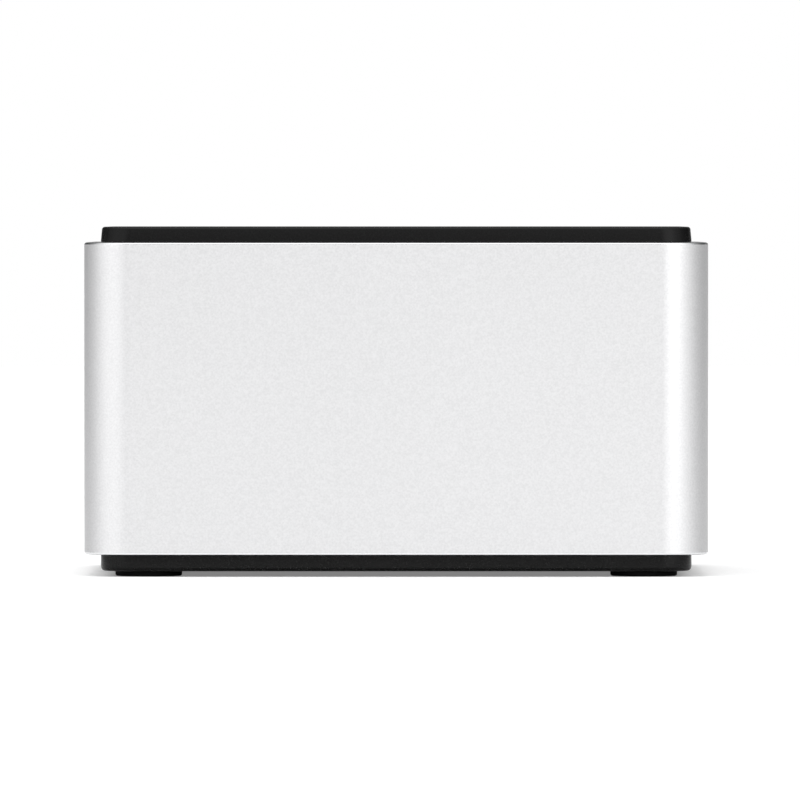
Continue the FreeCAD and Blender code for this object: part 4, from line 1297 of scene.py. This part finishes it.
@dataclass
class FlapSprings:
    """The two torsion springs of each flap, which wind up as it opens."""

    wire: float = 0.5
    wire_sides: int = 12
    coil_radius: float = 1.6
    coil_steps: int = 28
    pitch: float = 0.62
    turns: int = 4
    room: float = 3.4
    rear_leg: float = 2.2
    front_leg: float = 9.0
    springs: dict[tuple[Bay, Side], Piece] = field(default_factory=dict, init=False)

    def build(self) -> None:
        """Winds a left and a right spring for the front flap, and copies them for the rear one."""
        for side in Side:
            self.springs[Bay.FRONT, side] = self.model(side)
        for side in Side:
            name = self.name(Bay.REAR, side)
            shift = SLOTS.shift(Bay.REAR)
            self.springs[Bay.REAR, side] = copy_of(self.springs[Bay.FRONT, side], name, shift)

    @staticmethod
    def name(bay: Bay, side: Side) -> str:
        """The name of one spring."""
        return f"{bay.value}_flap_spring_{side.name.lower()}"

    def along(self, bay: Bay, side: Side, run: float) -> Vector:
        """A point on the axis of one spring, by how far it lies from the coil's inner end."""
        start = HINGES.knuckle_start() + HINGES.knuckle_length + (self.room - self.pitch * self.turns) / 2
        return Vector((side.value * (start + run), HINGES.y(bay), HINGES.hinge_z))

    def model(self, side: Side) -> Piece:
        """Winds a coil of the front flap from a ring of wire, then draws out its two legs.

        Args:
            side: the side that it is on.

        Returns:
            The spring.
        """
        deselect()
        bpy.ops.mesh.primitive_circle_add(
            vertices=self.wire_sides,
            radius=self.wire / 2 * MM,
            location=self.along(Bay.FRONT, side, 0) * MM,
            rotation=(math.pi / 2, 0, 0),
        )
        spring = bpy.context.active_object
        spring.name = self.name(Bay.FRONT, side)
        bpy.ops.object.transform_apply(location=False, rotation=True, scale=True)
        with edit_mode(spring, Pick.EDGE):
            bpy.ops.mesh.select_all(action="SELECT")
            bpy.ops.transform.translate(value=(0, 0, self.coil_radius * MM))
        self.wind(spring, side)
        self.draw_legs(spring, side)
        smooth(spring)
        return spring

    def wind(self, spring: Piece, side: Side) -> None:
        """Turns the ring of wire about the pin into a coil.

        Args:
            spring: the ring.
            side: the side that it is on, which gives the coil's hand.
        """
        modifier = spring.modifiers.new("coil", "SCREW")
        modifier.axis = "X"
        modifier.angle = 2 * math.pi
        modifier.screw_offset = side.value * self.pitch * MM
        modifier.iterations = self.turns
        modifier.steps = self.coil_steps
        modifier.render_steps = self.coil_steps
        modifier.use_merge_vertices = True
        modifier.merge_threshold = SAME * MM
        apply_modifiers(spring)
        bpy.ops.object.transform_apply(location=True, rotation=True, scale=True)

    def draw_legs(self, spring: Piece, side: Side) -> None:
        """Extrudes the coil's two open ends into legs, one to the back and one to the front.

        Args:
            spring: the coil.
            side: the side that it is on.
        """
        rise = Vector((0, 0, self.coil_radius))
        for run, leg in ((0, self.rear_leg), (self.pitch * self.turns, -self.front_leg)):
            with edit_mode(spring, Pick.EDGE):
                bpy.ops.mesh.select_non_manifold(extend=False, use_boundary=True, use_wire=False)
                self.keep_selected(spring, self.along(Bay.FRONT, side, run) + rise)
                bpy.ops.mesh.extrude_region_move(TRANSFORM_OT_translate={"value": (0, leg * MM, 0)})
                bpy.ops.mesh.edge_face_add()
        with edit_mode(spring, Pick.FACE):
            bpy.ops.mesh.select_all(action="SELECT")
            bpy.ops.mesh.normals_make_consistent(inside=False)

    def keep_selected(self, spring: Piece, middle: Vector) -> None:
        """Leaves only the selected edges round one point selected.

        Args:
            spring: the coil, in edit mode.
            middle: the point.
        """
        mesh = bmesh.from_edit_mesh(spring.data)
        for edge in mesh.edges:
            near = all((corner.co / MM - middle).length < self.wire for corner in edge.verts)
            edge.select_set(edge.select and near)
        bmesh.update_edit_mesh(spring.data)

    def dress(self) -> None:
        """Drawn wire, with each spring's place baked into its mesh, and the CAD springs hidden."""
        last = self.pitch * self.turns - self.wire / 2
        for (bay, side), spring in self.springs.items():
            spring.data.name = spring.name
            spring.data.materials.append(SPRING_STEEL.material())
            inner = self.along(bay, side, self.wire / 2) * MM
            outer = self.along(bay, side, last) * MM
            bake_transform(spring)
            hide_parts(f"{bay.value}_flap_springs")
            log.info("%s winds between %s and %s_flap", spring.name, CHASSIS, bay.value)


@dataclass
class PortPanel:
    """The panel at the back, with holes for the ports and the buttons."""

    flange: float = 1.5
    margin: float = 1.75
    skin: float = 1.6
    corner: Round = Round(4.6, 8)
    edge: Round = Round(0.3, 3)
    port_bevel: Round = Round(0.4, 2)
    port_margin: float = 0.05
    usb_play: float = 0.2
    usb_corner: Round = Round(1.7, 10)
    jack_radius: float = 3.8
    jack_sides: int = 48
    button_play: float = 0.25
    button_radius: float = 4.0
    button_sides: int = 64
    panel: Piece | None = field(default=None, init=False)

    def build(self) -> None:
        """Models the flange, raises the land from it, hollows it from inside and opens the ports."""
        box = Box.of("port_panel")
        front = box.low.y + self.flange
        face = box.high.y
        self.panel = add_block("rear_port_panel", Box(box.low, Vector((box.high.x, front, box.high.z))))
        bevel_edges(self.panel, runs_along(Axis.Y), self.corner)
        inset_faces(self.panel, faces_at(Axis.Y, front), self.margin, (0, face - front, 0))
        depth = box.size.y - self.skin
        inset_faces(self.panel, faces_at(Axis.Y, box.low.y), self.margin + self.skin, (0, depth, 0))
        bevel_edges(self.panel, lies_at(Axis.Y, face), self.edge)
        self.open_ports(face)
        smooth(self.panel)

    def open_ports(self, face: float) -> None:
        """Cuts the holes of the data port, the power inlet and the two buttons, and bevels their mouths.

        Args:
            face: the level of the panel's outer face.
        """
        usb = Box.of("usb_shell")
        ports = [self.port(usb, face, usb.size.x + 2 * self.usb_play, usb.size.z + 2 * self.usb_play)]
        cutters = [add_block("usb_hole", ports[0])]
        bevel_edges(cutters[0], runs_along(Axis.Y), self.usb_corner)
        bores = [("power_jack_pin", self.jack_radius, self.jack_sides)]
        for number in BUTTONS:
            bores.append((f"power_button_{number}", self.button_radius + self.button_play, self.button_sides))
        for node, radius, sides in bores:
            port = self.port(Box.of(node), face, 2 * radius, 2 * radius)
            start = (port.middle.x, port.low.y, port.middle.z)
            cutters.append(add_rod("round_hole", Axis.Y, start, port.size.y, radius, sides))
            ports.append(port)
        for cutter in cutters:
            combine(self.panel, cutter)
        level = lies_at(Axis.Y, face)

        def at_port(a: Vector, b: Vector) -> bool:
            """Whether an edge lies round the mouth of one port."""
            margin = self.port_margin
            return any(all(port.holds(Outline.FROM_BEHIND, end, margin) for end in (a, b)) for port in ports)

        bevel_edges(self.panel, lambda a, b: level(a, b) and at_port(a, b), self.port_bevel)

    def port(self, node: Box, face: float, width: float, height: float) -> Box:
        """The space of a port's hole, which runs out past both sides of the panel's skin."""
        return Box.about((node.middle.x, face, node.middle.z), (width, 4 * self.skin, height))

    def dress(self) -> None:
        """Textured black plastic."""
        settle(self.panel, CHASSIS, [BLACK_ABS], "port_panel")


@dataclass
class PushButtons:
    """The two push buttons at the back, with round edges and dished faces."""

    flange: float = 1.2
    radius: float = 4.0
    edge: Round = Round(0.45, 4)
    edge_margin: float = 0.05
    rim: float = 0.9
    dish: float = 0.3
    sides: int = 72
    caps: list[Piece] = field(default_factory=list, init=False)

    def build(self) -> None:
        """Models the first button, a flange with a cap raised from it, and copies it for the second."""
        boxes = [Box.of(f"power_button_{number}") for number in BUTTONS]
        box = boxes[0]
        face = box.high.y
        shoulder = box.low.y + self.flange
        start = (box.middle.x, box.low.y, box.middle.z)
        cap = add_rod("round_button_1", Axis.Y, start, self.flange, box.size.x / 2, self.sides)
        margin = box.size.x / 2 - self.radius
        inset_faces(cap, faces_at(Axis.Y, shoulder), margin, (0, face - shoulder, 0))
        inset_faces(cap, faces_at(Axis.Y, face), self.rim)
        flat = faces_at(Axis.Y, face)
        level = lies_at(Axis.Y, face)
        outer = self.radius - self.edge_margin

        def off_axis(point: Vector) -> float:
            """How far a point lies from the button's axis."""
            return (point - box.middle).xz.length

        sink_faces(cap, lambda at, normal: flat(at, normal) and off_axis(at) < CENTRAL, self.dish)
        bevel_edges(cap, lambda a, b: level(a, b) and min(off_axis(a), off_axis(b)) > outer, self.edge)
        smooth(cap)
        self.caps = [cap, copy_of(cap, "round_button_2", boxes[1].middle - box.middle)]

    def dress(self) -> None:
        """Polished black plastic."""
        for number, cap in zip(BUTTONS, self.caps):
            name = f"power_button_{number}"
            settle(cap, name, [BUTTON_ABS], name)


@dataclass
class KeptNodes:
    """The CAD nodes that stay as they are, each with its own finish."""

    finishes: dict[str, Finish] = field(
        default_factory=lambda: {
            "front_bay_well": INNER_ABS,
            "rear_bay_well": INNER_ABS,
            "lid_pillars": TURNED_ALUMINIUM,
            "front_flap_pins": PIN_STEEL,
            "rear_flap_pins": PIN_STEEL,
            "front_drive_socket": SOCKET_PLASTIC,
            "rear_drive_socket": SOCKET_PLASTIC,
            "front_socket_contacts": GOLD,
            "rear_socket_contacts": GOLD,
            "main_board": SOLDER_MASK,
            "usb_shell": PORT_STEEL,
            "usb_tongue": SOCKET_PLASTIC,
            "power_jack": SOCKET_PLASTIC,
            "power_jack_pin": PIN_STEEL,
            "switch_plunger_1": BUTTON_ABS,
            "switch_plunger_2": BUTTON_ABS,
            "power_switch_1": SOCKET_PLASTIC,
            "power_switch_2": SOCKET_PLASTIC,
            "light_pipe_left": CLEAR,
            "light_pipe_right": CLEAR,
            "status_leds": LED_LENS,
            "base_screws": SCREW_STEEL,
            "board_screws": SCREW_STEEL,
            "front_well_screws": SCREW_STEEL,
            "rear_well_screws": SCREW_STEEL,
            "bridge_chips": CHIP_EPOXY,
            "capacitors": CAN,
            "power_coils": FERRITE,
        }
    )

    def build(self) -> None:
        """Nothing is modelled: the CAD's own meshes stay."""

    def dress(self) -> None:
        """Puts each finish in its node's material slots."""
        for name, finish in self.finishes.items():
            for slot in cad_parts[name].material_slots:
                slot.material = finish.material()
            log.info("%s keeps its CAD mesh", name)


# Studio


@dataclass(frozen=True)
class SoftBox:
    """A square soft box: its place, its width, its power in watts, and whether reflections show it."""

    name: str
    place: tuple[float, float, float]
    width: float
    power: float
    mirrored: bool = False

    def add(self, target: Vector) -> None:
        """Sets up the box.

        Args:
            target: the point that it faces.
        """
        lamp = bpy.data.lights.new(self.name, "AREA")
        lamp.size = self.width * MM
        lamp.energy = self.power
        stand = bpy.data.objects.new(self.name, lamp)
        stand.location = Vector(self.place) * MM
        stand.rotation_euler = (target - Vector(self.place)).to_track_quat("-Z", "Y").to_euler()
        stand.visible_glossy = self.mirrored
        bpy.context.collection.objects.link(stand)


@dataclass
class Studio:
    """A pale table, a white surround and soft lamps, seen from the front.

    The room is how bright the surround looks in reflections, as pairs of an angle from the camera's side, in
    degrees, and a share of room_peak.
    """

    camera_x: float = 0.85
    camera_y: float = -3000.0
    camera_z: float = 81.0
    pitch: float = 0.804
    lens: float = 592.8
    sensor: float = 36.0
    nearest: float = 50.0
    farthest: float = 50000.0
    table: float = 8000.0
    table_colour: str = "F6F6F6"
    table_glow: float = 0.22
    ambient: float = 0.9
    room_peak: float = 1.2
    room: tuple[tuple[float, float], ...] = (
        (180, 0.16),
        (135, 0.03),
        (100, 0.20),
        (80, 0.62),
        (55, 0.98),
        (19, 0.97),
        (9, 0.46),
        (0, 0.30),
    )
    lean: float = 0.06
    turn: float = 7.0
    overhead: float = 0.9
    overhead_from: float = 0.35
    aim: tuple[float, float, float] = (0, 0, 40)
    boxes: tuple[SoftBox, ...] = (
        SoftBox("top_box", (-150, -350, 1100), 900, 3),
        SoftBox("left_box", (-900, -700, 350), 700, 2),
        SoftBox("right_box", (420, -650, 120), 400, 0.22, mirrored=True),
    )

    def build(self) -> None:
        """Makes the table, the lamps, the surround and the camera."""
        self.add_table()
        for box in self.boxes:
            box.add(Vector(self.aim))
        self.add_surround()
        self.add_camera()

    def dress(self) -> None:
        """Leaves the view as it is rendered, without a film look."""
        bpy.context.scene.view_settings.view_transform = "Standard"

    def add_table(self) -> None:
        """A wide white table top, a little brighter to the camera, which still takes the shadow."""
        deselect()
        bpy.ops.mesh.primitive_plane_add(size=self.table * MM, location=(0, 0, 0))
        table = bpy.context.active_object
        table.name = "table_top"
        made = bpy.data.materials.new("white_table")
        made.use_nodes = True
        tree = made.node_tree
        tree.nodes.clear()
        seen = add_node(tree, "ShaderNodeLightPath").outputs["Is Camera Ray"]
        glow = add_node(tree, "ShaderNodeMapRange", {"To Max": self.table_glow}, {"Value": seen})
        settings = {
            "Base Color": linear(self.table_colour),
            "Roughness": 1.0,
            "Specular IOR Level": 0.0,
            "Emission Color": linear(WHITE),
        }
        links = {"Emission Strength": glow.outputs["Result"]}
        paint = add_node(tree, "ShaderNodeBsdfPrincipled", settings, links)
        add_node(tree, "ShaderNodeOutputMaterial", links={"Surface": paint.outputs["BSDF"]})
        table.data.materials.append(made)

    def add_surround(self) -> None:
        """A white surround. Mirrored, it is bright at each side and dark at the rear sides, as with flags."""
        world = bpy.data.worlds.new("white_studio")
        bpy.context.scene.world = world
        world.use_nodes = True
        tree = world.node_tree
        tree.nodes.clear()
        path = add_node(tree, "ShaderNodeLightPath").outputs
        settings = {"To Min": 1.0, "To Max": self.ambient}
        plain = add_node(tree, "ShaderNodeMapRange", settings, {"Value": path["Is Diffuse Ray"]})
        links = {"Factor": path["Is Glossy Ray"], "A": plain.outputs["Result"], "B": self.room_tone(tree)}
        tone = add_node(tree, "ShaderNodeMix", {"data_type": "FLOAT"}, links)
        links = {"Strength": tone.outputs["Result"]}
        sky = add_node(tree, "ShaderNodeBackground", {"Color": linear(WHITE)}, links)
        add_node(tree, "ShaderNodeOutputWorld", links={"Surface": sky.outputs["Background"]})

    def room_tone(self, tree: Tree) -> Socket:
        """How bright the room is in each direction, from behind the object round to the camera's side.

        Args:
            tree: the world's tree.

        Returns:
            The brightness, as a socket.
        """
        way = add_node(tree, "ShaderNodeTexCoord").outputs["Generated"]
        parts = add_node(tree, "ShaderNodeSeparateXYZ", links={"Vector": way}).outputs
        turn = math.radians(self.turn)
        facing = add_node(tree, "ShaderNodeVectorMath", {"operation": "DOT_PRODUCT"})
        facing.inputs[1].default_value = (-math.sin(turn), -math.cos(turn), 0)
        tree.links.new(facing.inputs[0], way)
        ahead = add_node(tree, "ShaderNodeMapRange", {"From Min": -1.0}, {"Value": facing.outputs["Value"]})
        ramp = add_node(tree, "ShaderNodeValToRGB", links={"Fac": ahead.outputs["Result"]})
        stops = ramp.color_ramp.elements
        ramp.color_ramp.interpolation = "EASE"
        while len(stops) < len(self.room):
            # A new stop may begin anywhere, because each gets its place below.
            stops.new(0.5)
        for stop, (angle, tone) in zip(stops, self.room):
            stop.position = (1 + math.cos(math.radians(angle))) / 2
            stop.color = (tone, tone, tone, 1.0)
        left, right = self.room_peak * (1 - self.lean), self.room_peak * (1 + self.lean)
        sides = {"From Min": -1.0, "To Min": left, "To Max": right}
        tilt = add_node(tree, "ShaderNodeMapRange", sides, {"Value": parts["X"]})
        round_about = add_node(tree, "ShaderNodeMath", {"operation": "MULTIPLY"})
        tree.links.new(round_about.inputs[0], ramp.outputs["Color"])
        tree.links.new(round_about.inputs[1], tilt.outputs["Result"])
        above = {
            "From Min": self.overhead_from,
            "To Max": self.overhead,
            "interpolation_type": "SMOOTHSTEP",
        }
        top = add_node(tree, "ShaderNodeMapRange", above, {"Value": parts["Z"]})
        whole = add_node(tree, "ShaderNodeMath", {"operation": "ADD"})
        tree.links.new(whole.inputs[0], round_about.outputs["Value"])
        tree.links.new(whole.inputs[1], top.outputs["Result"])
        return whole.outputs["Value"]

    def add_camera(self) -> None:
        """The camera of the photograph: a long way off, looking slightly down."""
        lens = bpy.data.cameras.new("photo_camera")
        lens.lens = self.lens
        lens.sensor_width = self.sensor
        lens.clip_start = self.nearest * MM
        lens.clip_end = self.farthest * MM
        camera = bpy.data.objects.new("photo_camera", lens)
        camera.location = Vector((self.camera_x, self.camera_y, self.camera_z)) * MM
        camera.rotation_euler = (math.radians(90 - self.pitch), 0, 0)
        bpy.context.collection.objects.link(camera)
        bpy.context.scene.camera = camera


def main() -> None:
    """Builds and dresses each sub-assembly in turn."""
    logging.basicConfig(level=logging.INFO, format="%(message)s")
    parts = [
        Sleeve(),
        Lid(),
        Base(),
        Feet(),
        Flaps(),
        FlapSprings(),
        PortPanel(),
        PushButtons(),
        KeptNodes(),
        Studio(),
    ]
    for part in parts:
        part.build()
        part.dress()
    deselect()


if __name__ == "__main__":
    main()
